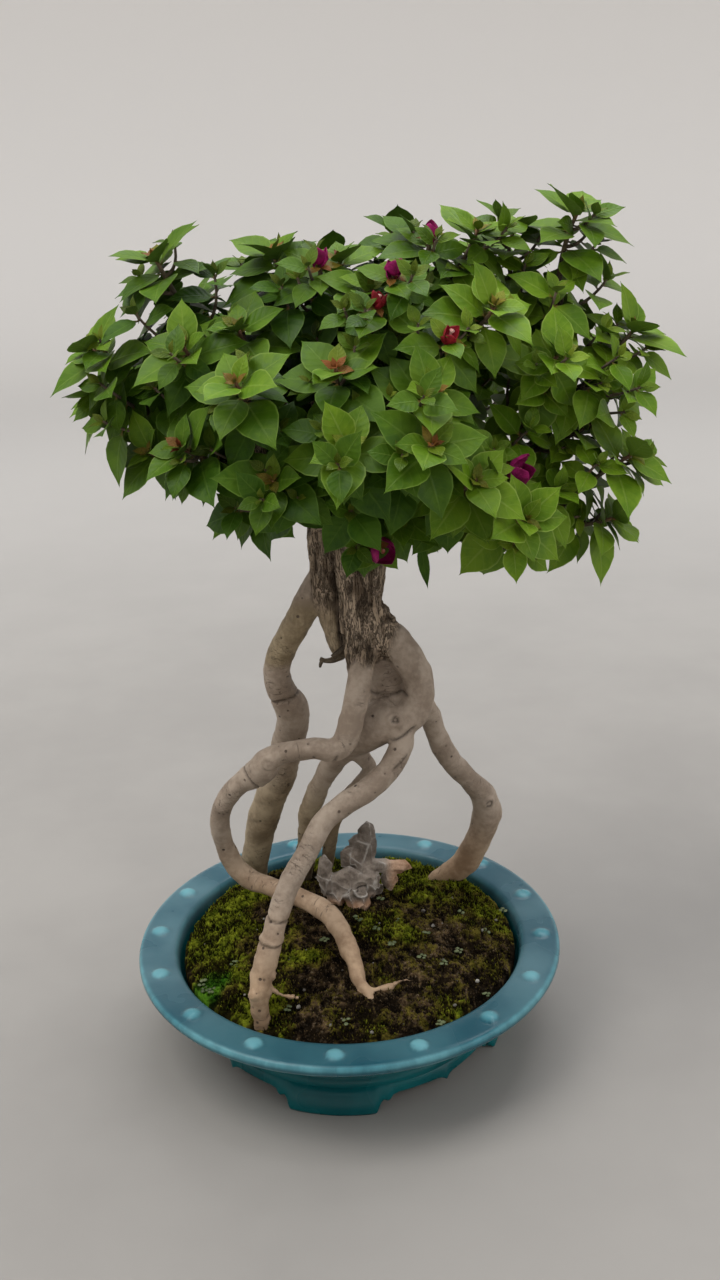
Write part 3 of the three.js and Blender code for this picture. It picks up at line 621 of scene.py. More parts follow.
def soil_height(x, y):
    """79 mm at the edge and 22 mm more in the middle, with broad waves that fade at the edge."""
    share = np.maximum(1 - (np.hypot(x, y) / SOIL_RADIUS) ** 2, 0)
    waves = 1.9 * np.sin(0.062 * x + 1) * np.cos(0.07 * y)
    waves = waves + 1.3 * np.sin(0.13 * x + 0.09 * y + 2) + 1.1 * np.cos(0.11 * x - 0.15 * y)
    return SOIL_EDGE + SOIL_CROWN * share**0.8 + waves * np.minimum(share * 4, 1)


def moss_cover(points):
    """How mossy a flat place is, 0 to 1: more on the left, at the back right and on cushions."""
    x, y = points[:, 0], points[:, 1]
    left = ease(-42, -108, x + 0.15 * y)
    back = ease(20, 70, y + 0.35 * x) * ease(150, 20, np.abs(x - 60))
    return np.clip(0.28 + 0.72 * left + 0.8 * back + 0.55 * layered(points, 26, 3, 5), 0, 1)


def vivid_moss(points):
    """1 on the small patch of fresh green moss at the front left, 0 away from it."""
    away = np.hypot(points[:, 0] + 117, points[:, 1] + 68) + 7 * cloud(points * [1, 1, 0], 9, 71)
    return ease(24, 11, away)


# %% Soil surface
def soil_surface(x, y):
    """Height, moss cover, and how far each place stands out of the hollows, from 0 to 1."""
    flat = np.column_stack([x, y, 0 * x])
    cover = moss_cover(flat)
    cushions = layered(flat, 15, 3, 1)
    tufts = 1 - np.abs(cloud(flat, 5.4, 2)) - 0.7 * np.abs(cloud(flat, 2.9, 3))
    z = soil_height(x, y) + 2.2 * cushions + (2.0 + 1.5 * cover) * tufts - 1.7
    z = z - 1.8 * ease(134, SOIL_REACH, np.hypot(x, y))
    return z, cover, np.clip(0.33 + 0.42 * cushions + 0.95 * (tufts - 0.5), 0, 1)


def soil_sheet():
    """Rings from the middle to the wall, then down the wall and under, to close the filling."""
    radius = np.concatenate([np.linspace(0.3, SOIL_REACH, SOIL_RINGS), SOIL_UNDER[:, 0]])
    x, y = turned(radius, radius, SOIL_SEGMENTS).T[:2].copy()
    z, cover, stand = soil_surface(x, y)
    z[SOIL_RINGS * SOIL_SEGMENTS :] = np.repeat(SOIL_UNDER[:, 1], SOIL_SEGMENTS)
    faces = [face[::-1] for face in closed_faces(len(radius), SOIL_SEGMENTS)]
    return np.column_stack([x, y, z]), faces, cover, stand


def soil_finish():
    """Dark earth in the hollows, olive and then fresh green moss where the cover is thick, all with painted
    shade that darkens the hollows.
    """
    finish, tree, place = new_finish("moss_and_earth", Roughness=0.95, Specular_IOR_Level=0.04)
    cover = read(tree, "moss")
    height = read(tree, "height")
    speck = mottled(tree, place, 110)
    earth = mixed(tree, speck, (0.018, 0.011, 0.006), (0.12, 0.078, 0.04))
    crumbs = spread(tree, noise(tree, place, 430, 2.0, 0.6), 0.58, 0.66, 0.0, 0.6)
    earth = mixed(tree, crumbs, earth, (0.27, 0.205, 0.135))
    olive = mixed(tree, speck, (0.03, 0.025, 0.004), (0.152, 0.12, 0.022))
    green = mixed(tree, speck, (0.058, 0.078, 0.005), (0.228, 0.255, 0.018))
    vivid = mixed(tree, speck, (0.018, 0.07, 0.004), (0.1, 0.235, 0.016))
    damp = calc(tree, "ADD", cover, times(tree, calc(tree, "SUBTRACT", height, 0.5), 0.7))
    mossy = mixed(tree, spread(tree, damp, 0.25, 0.52), earth, olive)
    colour = mixed(tree, spread(tree, damp, 0.62, 1.05), mossy, green)
    colour = mixed(tree, read(tree, "vivid"), colour, vivid)
    # Painted shade: the lower a place stands in the hollows, the darker it is made.
    shade = spread(tree, height, 0.1, 0.8, 0.16, 1.3)
    grey = add(tree, "ShaderNodeCombineColor", {0: shade, 1: shade, 2: shade}).outputs[0]
    grain = bumped(tree, noise(tree, place, 750, 4.0, 0.75), 0.0022)
    to_shader(tree, Base_Color=mixed(tree, 1.0, colour, grey, "MULTIPLY"), Normal=grain)
    return finish


# %% Set up the soil
MOSS = soil_finish()
soil_points, soil_faces, soil_cover, soil_stand = soil_sheet()
soil = new_piece("mossy_soil", soil_points, soil_faces, [MOSS])
give_values(soil, moss=soil_cover, height=soil_stand, vivid=vivid_moss(soil_points))
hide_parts("soil")
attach(soil, "root")
print("soil:", count(soil), "triangles")

# %% [markdown]
# ### Tufts of moss
#
# Moss is not a smooth skin. Thousands of tiny three-sided spikes stand on the mound and lean
# every way. They read the same numbers as the ground under them, so they have its colour, but
# each is a little lighter or darker than its neighbours, and its foot gets painted shade, so its
# tip is lighter.

# %% Moss tufts
TUFT_COUNT = 19000
TUFT_REACH = 138.5
TUFT_SUNK = 0.6


def scattered(numbers, least, most):
    """Places on the mound by chance: the angle is even, the radius grows with a square root."""
    turn = 2 * math.pi * chance(numbers * 3 + 1)
    radius = least + (most - least) * np.sqrt(chance(numbers * 3 + 2))
    return radius * np.cos(turn), radius * np.sin(turn)


def moss_tufts():
    """Spikes of four points: three round the foot and a tip; length and lean go by chance."""
    number = np.arange(TUFT_COUNT)
    x, y = scattered(number, 0, TUFT_REACH)
    z, cover, stand = soil_surface(x, y)
    feet = np.column_stack([x, y, z - TUFT_SUNK])
    width = 0.6 + 0.9 * chance(number * 7 + 5) ** 2
    length = (1.2 + 1.2 * cover) * (0.7 + 0.9 * chance(number * 11 + 6))
    lean = 2 * math.pi * chance(number * 13 + 7)
    slant = 0.75 * length * chance(number * 17 + 8)
    tips = feet + np.column_stack([slant * np.cos(lean), slant * np.sin(lean), length + TUFT_SUNK])
    corner = lean[:, None] + np.array([0, 1, 2]) * 2 * math.pi / 3
    ring = np.stack([width[:, None] * np.cos(corner), width[:, None] * np.sin(corner), 0 * corner], -1)
    points = np.concatenate([feet[:, None] + ring, tips[:, None]], axis=1).reshape(-1, 3)
    one = np.array([[0, 1, 3], [1, 2, 3], [2, 0, 3], [2, 1, 0]])
    faces = (number[:, None, None] * 4 + one).reshape(-1, 3).tolist()
    own = 1.1 * (chance(number * 23 + 9) - 0.42)
    # Painted shade at each spike's foot; its tip is lighter.
    lifted = np.repeat(stand + own, 4) + np.tile([-0.3, -0.3, -0.3, 0.35], TUFT_COUNT)
    return points, faces, np.repeat(cover + 0.08, 4), np.clip(lifted, 0, 1)


tuft_points, tuft_faces, tuft_cover, tuft_stand = moss_tufts()
tufts = new_piece("moss_tufts", tuft_points, tuft_faces, [MOSS])
give_values(tufts, moss=tuft_cover, height=tuft_stand, vivid=vivid_moss(tuft_points))
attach(tufts, "root")
print("tufts:", count(tufts), "triangles")

# %% [markdown]
# ### Pebbles and seedlings
#
# Small pale pebbles lie half sunk in the moss, scattered by chance. Seedlings with four round
# leaflets stand at the places that the photograph shows. Both are made of small lumps with
# a few dozen faces, and a leaflet is just a very flat lump.

# %% Pebbles
PEBBLE_COUNT = 70
PEBBLE_REACH = (12, 134)


def lumps(places, sizes, flat=0.7, uneven=0.3, rows=5, columns=7):
    """Balls of the given sizes, squashed by the flat share and pushed in and out by noise."""
    up = np.linspace(0.12, math.pi - 0.12, rows)[:, None]
    turn = circle(columns)
    ball = np.stack([np.sin(up) * np.cos(turn), np.sin(up) * np.sin(turn), flat * np.cos(up) + 0 * turn], -1)
    points = places[:, None, :] + sizes[:, None, None] * ball.reshape(1, -1, 3)
    points = points.reshape(-1, 3)
    points += uneven * np.repeat(sizes, rows * columns)[:, None] * cloud(points, 2.0, 9)[:, None]
    faces = []
    for start in range(0, len(points), rows * columns):
        faces += [face[::-1] for face in closed_faces(rows, columns, start)]
    return points, faces


numbers = np.arange(PEBBLE_COUNT)
x, y = scattered(numbers, *PEBBLE_REACH)
pebble_places = np.column_stack([x, y, soil_height(x, y)])
pebble_sizes = 0.6 + 1.5 * chance(numbers * 5 + 3) ** 2
grit = two_tone("pale_grit", 60, (0.05, 0.04, 0.03), (0.34, 0.32, 0.28), Roughness=0.8)
pebbles = new_piece("pebbles", *lumps(pebble_places, pebble_sizes), [grit])
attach(pebbles, "root")
print("pebbles:", count(pebbles), "triangles")

# %% Seedlings
SEEDLING_PLACES = [
    (-20, -34), (28, 24), (60, -55), (118, -10), (-48, -106), (110, -88), (44, -9), (78, -63),
    (137, 34), (-3, -125), (70, -123), (-118, -70), (-112, -74), (-121, -62), (24, -22), (66, -26),
    (92, -40), (8, -8), (36, -40), (98, 16), (-60, -20), (-96, -44),
]
LEAFLETS = 4


def seedling_leaflets():
    """Round a stem, four leaflets a quarter turn apart, each pushed out by its own size."""
    number = np.arange(len(SEEDLING_PLACES) * LEAFLETS)
    stems = np.repeat(np.array(SEEDLING_PLACES, float), LEAFLETS, axis=0)
    sizes = 1.3 + 1.0 * chance(number * 5 + 1)
    turn = 2 * math.pi * (number / LEAFLETS + 0.15 * chance(number * 7 + 2))
    x = stems[:, 0] + 1.3 * sizes * np.cos(turn)
    y = stems[:, 1] + 1.3 * sizes * np.sin(turn)
    z = soil_height(x, y) + 1.0 + 1.4 * chance(number * 3 + 4)
    return np.column_stack([x, y, z]), sizes


leaflet_green = two_tone(
    "seedling_leaf", 80, (0.055, 0.08, 0.03), (0.155, 0.18, 0.09), Roughness=0.6, Specular_IOR_Level=0.2
)
seedlings = new_piece("seedlings", *lumps(*seedling_leaflets(), flat=0.28, uneven=0.12), [leaflet_green])
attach(seedlings, "root")
print("seedlings:", count(seedlings), "triangles")

# %% [markdown]
# ## Taking a joined skin
#
# Stone and wood are each one solid that grew together from rounder parts. The parts are put into
# one mesh, and Blender's voxel remesh wraps them in a single even skin, which has no seams where
# a root leaves the trunk. A little smoothing rounds the crossings, and then noise adds relief.

# %% Joined skin
def joined_skin(points, faces, voxel, smoothing):
    """Wraps overlapping closed parts in one skin of even faces; voxel is in millimetres."""
    item = new_piece("parts", points, faces, [])
    wrap = item.modifiers.new("wrap", "REMESH")
    wrap.mode = "VOXEL"
    wrap.voxel_size = voxel / 1000
    even = item.modifiers.new("even", "SMOOTH")
    even.factor = 0.5
    even.iterations = smoothing
    ready = item.evaluated_get(bpy.context.evaluated_depsgraph_get())
    skin = bpy.data.meshes.new_from_object(ready)
    bpy.data.objects.remove(item)
    return skin


def skin_arrays(skin):
    """Points in millimetres, their normals, and the faces of a skin."""
    places = read_all(skin.vertices, "co", 3)
    normals = read_all(skin.vertex_normals, "vector", 3)
    corners = read_all(skin.loops, "vertex_index", kind=np.int32)
    sizes = read_all(skin.polygons, "loop_total", kind=np.int32)
    faces = [list(part) for part in np.split(corners, np.cumsum(sizes)[:-1])]
    return to_pot(places), normals, faces


# %% [markdown]
# ## The stone
#
# The stone is a weathered grey lump with arms and a spire, crossed by white veins, with warm
# ends where the rock is fresh. Its solid is already lumpy. It gets an even skin, and then cells
# are hollowed into it. Each cell belongs to one scattered point, and where two cells meet a sharp
# ridge is left, with a white vein on it.

# %% Stone
EYE = np.array([11.6, 21, 115])
STONE_VOXEL = 0.9
STONE_SMOOTHING = 3
STONE_CELL = (11, 12, 19)


def stone_finish():
    """Grey-brown rock with thin white veins, a warm tone where the mesh says so, and painted shade in the
    eye's slit and on the upper spire.
    """
    finish, tree, place = new_finish("veined_rock", Roughness=0.75, Specular_IOR_Level=0.3)
    mask = mottled(tree, place, 70)
    rock = mixed(tree, mask, (0.15, 0.12, 0.095), (0.32, 0.268, 0.222))
    seen = spread(tree, noise(tree, place, 60, 2.0), 0.40, 0.56, 0.15, 1.0)
    vein = times(tree, read(tree, "vein"), seen)
    # Painted shade: the eye's slit and the upper spire are darkened.
    rock = mixed(tree, read(tree, "dark"), rock, (0.02, 0.016, 0.013))
    streaked = mixed(tree, times(tree, vein, 0.7), rock, (0.6, 0.56, 0.51))
    warm = mixed(tree, mask, (0.36, 0.2, 0.11), (0.56, 0.36, 0.24))
    colour = mixed(tree, read(tree, "warm"), streaked, warm)
    relief = calc(tree, "ADD", noise(tree, place, 240, 4.0, 0.65), times(tree, vein, 0.6))
    to_shader(tree, Base_Color=colour, Normal=bumped(tree, relief, 0.0016))
    return finish


def two_nearest(points, size, seed):
    """Distances to the nearest and the second nearest of points scattered one to a grid cell."""
    place = points / np.asarray(size, float)
    cell = np.floor(place)
    first = np.full(len(place), 9.0)
    second = np.full(len(place), 9.0)
    for offset in np.ndindex(3, 3, 3):
        corner = cell + np.array(offset) - 1
        jitter = [corner_value(*corner.T, seed + axis) for axis in (0, 1, 2)]
        gap = np.linalg.norm(corner + 0.5 + 0.42 * np.column_stack(jitter) - place, axis=1)
        second = np.minimum(second, np.maximum(first, gap))
        first = np.minimum(first, gap)
    return first, second


def eye_marks(points):
    """A round ridge 7 mm from the eye's middle, and a curved slit across it that gets painted shade."""
    away = points - EYE
    bow = away[:, 2] - 1.6 + 0.07 * away[:, 0] ** 2
    slit = bell(bow, 0.7) * ease(5.5, 4, np.abs(away[:, 0])) * ease(12, 8, np.abs(away[:, 1]))
    return bell(gap_to(points, EYE) - 7, 0.8), slit


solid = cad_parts["stone"].data
solid_faces = [list(face.vertices) for face in solid.polygons]
stone_parts = to_pot(read_all(solid.vertices, "co", 3))
skin = joined_skin(stone_parts, solid_faces, STONE_VOXEL, STONE_SMOOTHING)
places, normals, faces = skin_arrays(skin)
bent = places + 2.2 * np.column_stack([cloud(places, 13, seed) for seed in (23, 24, 25)])
nearest_cell, second_cell = two_nearest(bent, STONE_CELL, 31)
between = second_cell - nearest_cell
ridge_line = bell(between, 0.05)
eye_ring, eye_slit = eye_marks(places)
smooth_face = 1 - ease(10, 7.5, gap_to(places, EYE))
carving = smooth_face * (1 - 0.95 * ease(116, 126, places[:, 2]))
relief = carving * (0.6 * ridge_line - 1.7 * ease(0, 0.5, between)) + 0.9 * eye_ring - 1.5 * eye_slit
relief = relief + 0.4 + 0.3 * cloud(places, 3.2, 22)
places = places + normals * relief[:, None]
stone = new_piece("veined_stone", places, faces, [stone_finish()])
low_front = ease(110, 102, places[:, 2]) * ease(30, 22, places[:, 1])
right_arm = ease(31, 42, places[:, 0])
# Painted shade on the upper spire.
spire_shade = 0.4 * ease(132, 150, places[:, 2])
give_values(
    stone, vein=np.maximum(ridge_line * smooth_face, eye_ring), dark=np.maximum(eye_slit, spire_shade),
    warm=np.clip(np.maximum(low_front, right_arm) * 0.9, 0, 1),
)
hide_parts("stone")
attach(stone, "root")
print("stone:", count(stone), "triangles")

# %% [markdown]
# ## Roots, trunk and limbs
#
# The wood is known along its centre lines, as the solids are: a place and a radius for each
# measured point. A circle carried along each line makes a closed tube. All tubes together then
# get one joined skin.

# %% Centre lines of the roots
ROOTS = {
    "trunk": [
        (8, 2, 492, 16), (11, 1, 464, 23), (19, 0, 431, 21.5), (19, 0, 410, 19.5),
        (18.5, 0, 390, 18), (20, 0, 370, 18), (20, 0, 352, 16), (19, -1, 338, 12),
    ],
    "lobe": [
        (-5, 3, 450, 14), (-7, 1, 431, 11.5), (-8, 1, 410, 10), (-7, 1, 386, 9),
        (-3.5, 2, 369, 8.2), (-0.5, 3, 350, 6.4), (3, 4, 337, 3.6),
    ],
    "left_front": [
        (19, -6, 362, 13), (18, -14, 343, 11), (16, -20, 328, 10), (12, -26, 307, 9.5),
        (6, -30, 288, 10), (-3, -33, 276, 10), (-19, -32, 277, 9.2), (-39, -26, 272, 9.2),
        (-56, -17, 263, 10.5), (-67, -8, 247, 12.5), (-85, 0, 232, 9), (-102, 8, 207, 8.6),
        (-106, 16, 182, 8.4), (-103, 22, 159, 8.6), (-96, 24, 139, 9), (-81, 22, 127, 9.2),
        (-65, 12, 126, 8.6), (-38, -8, 126, 8.4), (-22, -24, 125, 8.4), (-9, -42, 121, 8.2),
        (-2, -58, 115, 8), (3, -74, 107, 7.4), (8, -88, 99, 6), (15, -98, 91, 4.6), (21, -106, 82, 3.4),
    ],
    "arc": [
        (20, 0, 386, 14), (34, 0, 364, 14), (47.5, 0, 350.5, 13.5), (58, -2, 335, 13),
        (63.5, -4, 321, 12.4), (63.5, -6, 306, 12.8), (58, -8, 294, 14), (46, -8, 288, 16),
    ],
    "inner": [(27, 13, 374, 13), (33, 15, 348, 14), (38, 13, 320, 14), (40, 6, 296, 13)],
    "left_back": [
        (46, -7, 290, 16), (32, -3, 285, 18.5), (17, 3, 271, 15), (-1, 14, 251, 10.8),
        (-18, 30, 218, 9.3),
        (-31, 48, 178, 9.6), (-34, 62, 145, 9.6), (-38, 80, 118, 9.5), (-42, 90, 94, 9),
        (-44, 94, 76, 8),
    ],
    "thin": [
        (22, 0, 282, 8), (10, 5, 262, 7.4), (22, 13, 237, 6.7), (16, 20, 221, 6.2), (1, 31, 200, 6),
        (-10, 50, 163, 6), (-17, 70, 122, 6), (-21, 82, 94, 5.6), (-23, 86, 76, 5),
    ],
    "front": [
        (52, -6, 297, 12), (50, -13, 283, 10.6), (47, -21, 268, 10), (38, -28, 254, 9.6),
        (24, -34, 243, 9.4), (4, -41, 233, 9.2), (-16, -48, 220, 8.9), (-30, -61, 199, 8.8),
        (-43, -73, 182, 9), (-53, -86, 161, 9), (-60, -98, 141, 8.6), (-66, -106, 126, 8.3),
        (-69, -111, 112, 8.2), (-70, -113, 96, 7.4), (-69, -113, 80, 6.6), (-68, -112, 64, 5.4),
    ],
    "left": [
        (0, 5, 424, 12), (-12, 8, 402, 11.5), (-28, 12, 374, 11.5), (-44, 18, 343, 11),
        (-51, 24, 320, 11.6), (-48, 30, 300, 12.6), (-41, 36, 283, 14), (-41, 42, 266, 14),
        (-46, 49, 247, 13.7), (-55, 60, 212, 13.5), (-67, 70, 180, 14), (-76, 78, 153, 13.5),
        (-81, 84, 128, 13), (-86, 88, 106, 13), (-88, 90, 87, 12), (-88, 90, 70, 10),
    ],
    "right": [
        (50, -4, 303, 11), (62, 8, 296, 10.4), (73, 18, 282, 9.4), (78, 27, 261, 9.2),
        (90, 36, 232, 9.2), (106, 46, 208, 9.7), (119, 54, 189, 10.8), (125, 60, 169, 12.8),
        (122, 66, 147, 12.6), (114, 72, 124, 12.2), (105, 77, 104, 11.8), (91, 79, 94, 9.6),
        (79, 79, 89, 6.2), (70, 78, 82, 4),
    ],
    "rootlet": [(10, -90, 97, 3), (18, -96, 93.5, 2.4), (24, -94, 93.5, 1.9), (34, -91, 92, 1.4)],
}

FINE_ROOTS = {
    "stub": [(13, -93, 94, 3.2), (9, -95, 92, 2.6), (5, -97, 90, 1.9)],
    "curl": [(30, -92, 93, 1.5), (40, -88, 95, 1.3), (49, -85, 94, 1.1), (55, -84, 89, 0.8)],
    "fork": [(15, -97, 91, 3), (16, -104, 86, 2.4), (12, -109, 81, 1.6)],
    "hair": [(-62, -110, 110, 2.2), (-52, -112, 103, 1.3), (-44, -111, 101, 1), (-38, -109, 97, 0.8)],
}

# %% Centre lines of the limbs
LIMBS = {
    "left_main": [
        (4, 4, 466, 18), (-26, 6, 492, 12.5), (-58, 8, 516, 9), (-80, 8, 548, 6), (-92, 6, 588, 4),
        (-100, 6, 612, 3),
    ],
    "left_low": [(-40, 7, 503, 9), (-82, 2, 512, 6), (-118, 2, 528, 4.6), (-146, 2, 548, 3.4)],
    "left_front_limb": [(-2, -6, 458, 13), (-22, -34, 482, 8.5), (-40, -56, 508, 6), (-50, -72, 532, 4)],
    "middle": [(8, 4, 478, 17), (2, 10, 522, 11), (-6, 10, 562, 8), (-12, 8, 600, 4.6)],
    "middle_right": [(4, 8, 512, 10), (30, 2, 556, 6.5), (54, -2, 592, 5), (78, -2, 616, 3.6)],
    "right_low": [
        (18, -6, 448, 13), (47, -13, 442, 8), (68, -18, 446, 6.4), (94, -28, 449, 5.4),
        (128, -34, 450, 4.6), (160, -34, 452, 3.6),
    ],
    "right_main": [
        (20, 2, 462, 13), (58, 2, 470, 8), (94, -2, 472, 6.6), (120, -4, 484, 5.8),
        (134, -5, 503, 5.2), (145, -3, 521, 4.9), (156, 0, 541, 4.6), (161, 2, 560, 4.3),
        (169, 6, 592, 3.6), (172, 9, 616, 2.8),
    ],
    "right_side": [(158, 1, 548, 4.4), (178, -2, 546, 3.6), (196, -4, 548, 3)],
    "front_limb": [(8, -14, 452, 12), (14, -42, 474, 8), (20, -64, 498, 6), (34, -76, 522, 4.4)],
    "back": [(4, 18, 462, 14), (-6, 52, 490, 9), (-14, 80, 518, 6.5), (-22, 96, 548, 4.6)],
    "back_right": [(16, 14, 462, 12), (48, 46, 488, 8), (84, 66, 512, 6), (112, 74, 542, 4.4)],
    "back_left": [(-4, 42, 482, 9), (-46, 62, 508, 6.4), (-86, 68, 532, 5), (-110, 66, 556, 3.6)],
}

# %% Tubes along lines
def cross_ways(line):
    """Two directions square to a line at each point, carried along it without twisting."""
    along = np.gradient(line[:, :3], axis=0)
    along = along / np.linalg.norm(along, axis=1)[:, None]
    first = np.array([1.0, 0, 0]) if abs(along[0, 0]) < 0.8 else np.array([0, 1.0, 0])
    sides = []
    for way in along:
        first = first - way * first.dot(way)
        first = first / np.linalg.norm(first)
        sides.append(first)
    sides = np.array(sides)
    return sides, np.cross(along, sides)


def tube(line, sides, uneven=0.0, seed=0):
    """A circle of the line's own radius carried along it, swollen here and there by noise."""
    first, second = cross_ways(line)
    turn = circle(sides)
    spoke = first[:, None] * np.cos(turn)[:, None] + second[:, None] * np.sin(turn)[:, None]
    middle = line[:, None, :3]
    radius = line[:, None, 3:4]
    plain = (middle + spoke * radius).reshape(-1, 3)
    swell = uneven * layered(plain, 26, 2, seed).reshape(len(line), sides, 1)
    points = (middle + spoke * radius * (1 + swell)).reshape(-1, 3)
    return points, closed_faces(len(line), sides)


def put_together(parts):
    """Several lots of points and faces as one lot."""
    points, faces, start = [], [], 0
    for some_points, some_faces in parts:
        points.append(some_points)
        faces += [[corner + start for corner in face] for face in some_faces]
        start += len(some_points)
    return np.vstack(points), faces


# %% [markdown]
# ### Bark on top, smooth roots below
#
# The roots were once under ground, so they are smooth and pale. The trunk was always in the air
# and has rough furrowed bark. Each point of the skin looks for the nearest centre line, and
# that tells it how far along it lies and whether it is bark or root.

# %% Reading the nearest line
SMOOTH_RUNS = [name for name in {**ROOTS, **FINE_ROOTS} if name not in ("trunk", "lobe")]


LOT = 4000


def nearest(points, line):
    """Distance from each point to the surface round a line, and how far along it lies."""
    travelled = np.concatenate([[0], np.cumsum(np.linalg.norm(np.diff(line[:, :3], axis=0), axis=1))])
    best = np.empty(len(points))
    where = np.empty(len(points))
    for start in range(0, len(points), LOT):
        some = points[start : start + LOT]
        apart = np.linalg.norm(some[:, None] - line[None, :, :3], axis=2) - line[:, 3]
        pick = apart.argmin(axis=1)
        best[start : start + LOT] = apart[np.arange(len(some)), pick]
        where[start : start + LOT] = travelled[pick]
    return best, where


def surface_story(points):
    """For each point: how much it is bark, from 0 to 1, and how far along its line it lies."""
    bark_near = np.full(len(points), 1e9)
    root_near = np.full(len(points), 1e9)
    along = np.zeros(len(points))
    for name, line in LINES.items():
        apart, where = nearest(points, line)
        closest = apart < np.minimum(bark_near, root_near)
        along[closest] = where[closest]
        if name in SMOOTH_RUNS:
            root_near = np.minimum(root_near, apart)
        else:
            bark_near = np.minimum(bark_near, apart)
    ragged = 3 * cloud(points, 7, 31)
    lower = 9 * ease(332, 346, points[:, 2] + 2 * ragged) * ease(-20, 0, points[:, 0])
    bark = ease(-5, 3, root_near - bark_near + ragged + lower)
    return bark * ease(326, 342, points[:, 2] + 1.5 * ragged) * (1 - 0.7 * on_lobe(points)), along


def off_lobe(points):
    """How much farther the lobe's surface is than the trunk's."""
    return nearest(points, LINES["lobe"])[0] - nearest(points, LINES["trunk"])[0]


def on_lobe(points):
    """1 on the lower half of the lobe, whose skin is smoother than the trunk's."""
    height = points[:, 2]
    return ease(0, -3, off_lobe(points)) * ease(398, 378, height) * ease(325, 335, height)


# %% Knots and relief
KNOTS = [
    (43, -24, 295, 5.5), (-58, -26, 262, 5), (-60, -108, 119, 2.4), (-74, -118, 109, 2.4),
    (125, 46, 182, 4), (62, -17, 330, 2.5), (20, -24, 318, 2.5), (-30, 2, 372, 4),
]
DARK_KNOTS = (KNOTS[0], KNOTS[4])
CREASES = [
    (-45, 22, 297, 0.25, 22), (-74, -6, 241, -1.3, 16), (-4, -32, 272, 2.5, 13), (38, -2, 310, 0.05, 22),
    (50, -18, 282, 0.5, 14), (-54, -88, 159, -0.25, 12),
]
SCARS = [(-59, -96, 145, -0.2, 14), (44, -26, 262, 0.8, 13)]


def knot_height(points):
    """Each knot is a raised ring round a low button: two bell curves of the distance."""
    total = np.zeros(len(points))
    for *place, size in KNOTS:
        gap = gap_to(points, place)
        total += 1.9 * bell(gap - size, 1.6) + 1.5 * bell(gap, 2.0)
    return total


def knot_ring(points):
    """The ring between a knot's button and its rim, darkened in the colour as painted shade."""
    return sum(1.2 * bell(gap_to(points, place) - 0.62 * size, 0.7) for *place, size in DARK_KNOTS)


def ring_lines(points, rows):
    """Where tilted planes cut the roots near given places: bell curves of the height over them."""
    total = np.zeros(len(points))
    for x, y, z, tilt, reach in rows:
        away = points - np.array([x, y, z])
        over = away[:, 2] - tilt * away[:, 0] + 0.5 * cloud(points, 6, 61)
        near = ease(reach, 0.7 * reach, np.linalg.norm(away, axis=1))
        total += near * bell(over, math.hypot(1, tilt))
    return total


def lobe_groove(points):
    """1 where the trunk's and the lobe's surfaces are equally near, fading over 2.2 mm."""
    height = points[:, 2]
    return bell(off_lobe(points), 2.2) * ease(334, 344, height) * ease(450, 428, height)


def furrows(points):
    """Ridges that run up the trunk: noise stretched fivefold upward, folded so crests are sharp."""
    wander = 2.5 * cloud(points, 22, 43)[:, None] * np.array([1, 0.6, 0])
    stretched = (points + wander) * np.array([1, 1, 0.2])
    return 1 - 2.4 * np.abs(layered(stretched, 6.0, 2, 41))


def wood_relief(points, bark):
    """Height added along the normal, in millimetres: furrows on bark, soft lumps on roots."""
    knobbly = ease(150, 128, points[:, 2]) * ease(-20, -50, points[:, 1])
    broad = (0.8 + 1.3 * knobbly) * layered(points, 15, 2, 51)
    rings = 0.3 * cloud(points * np.array([0.4, 0.4, 1.0]), 4.0, 52)
    rough = 1.45 * furrows(points) + 1.2 * cloud(points, 12, 53)
    cuts = 1.9 * ring_lines(points, CREASES) + 4.6 * lobe_groove(points) - 1.8 * ring_lines(points, SCARS)
    return broad + bark * rough + (1 - bark) * rings + knot_height(points) - cuts


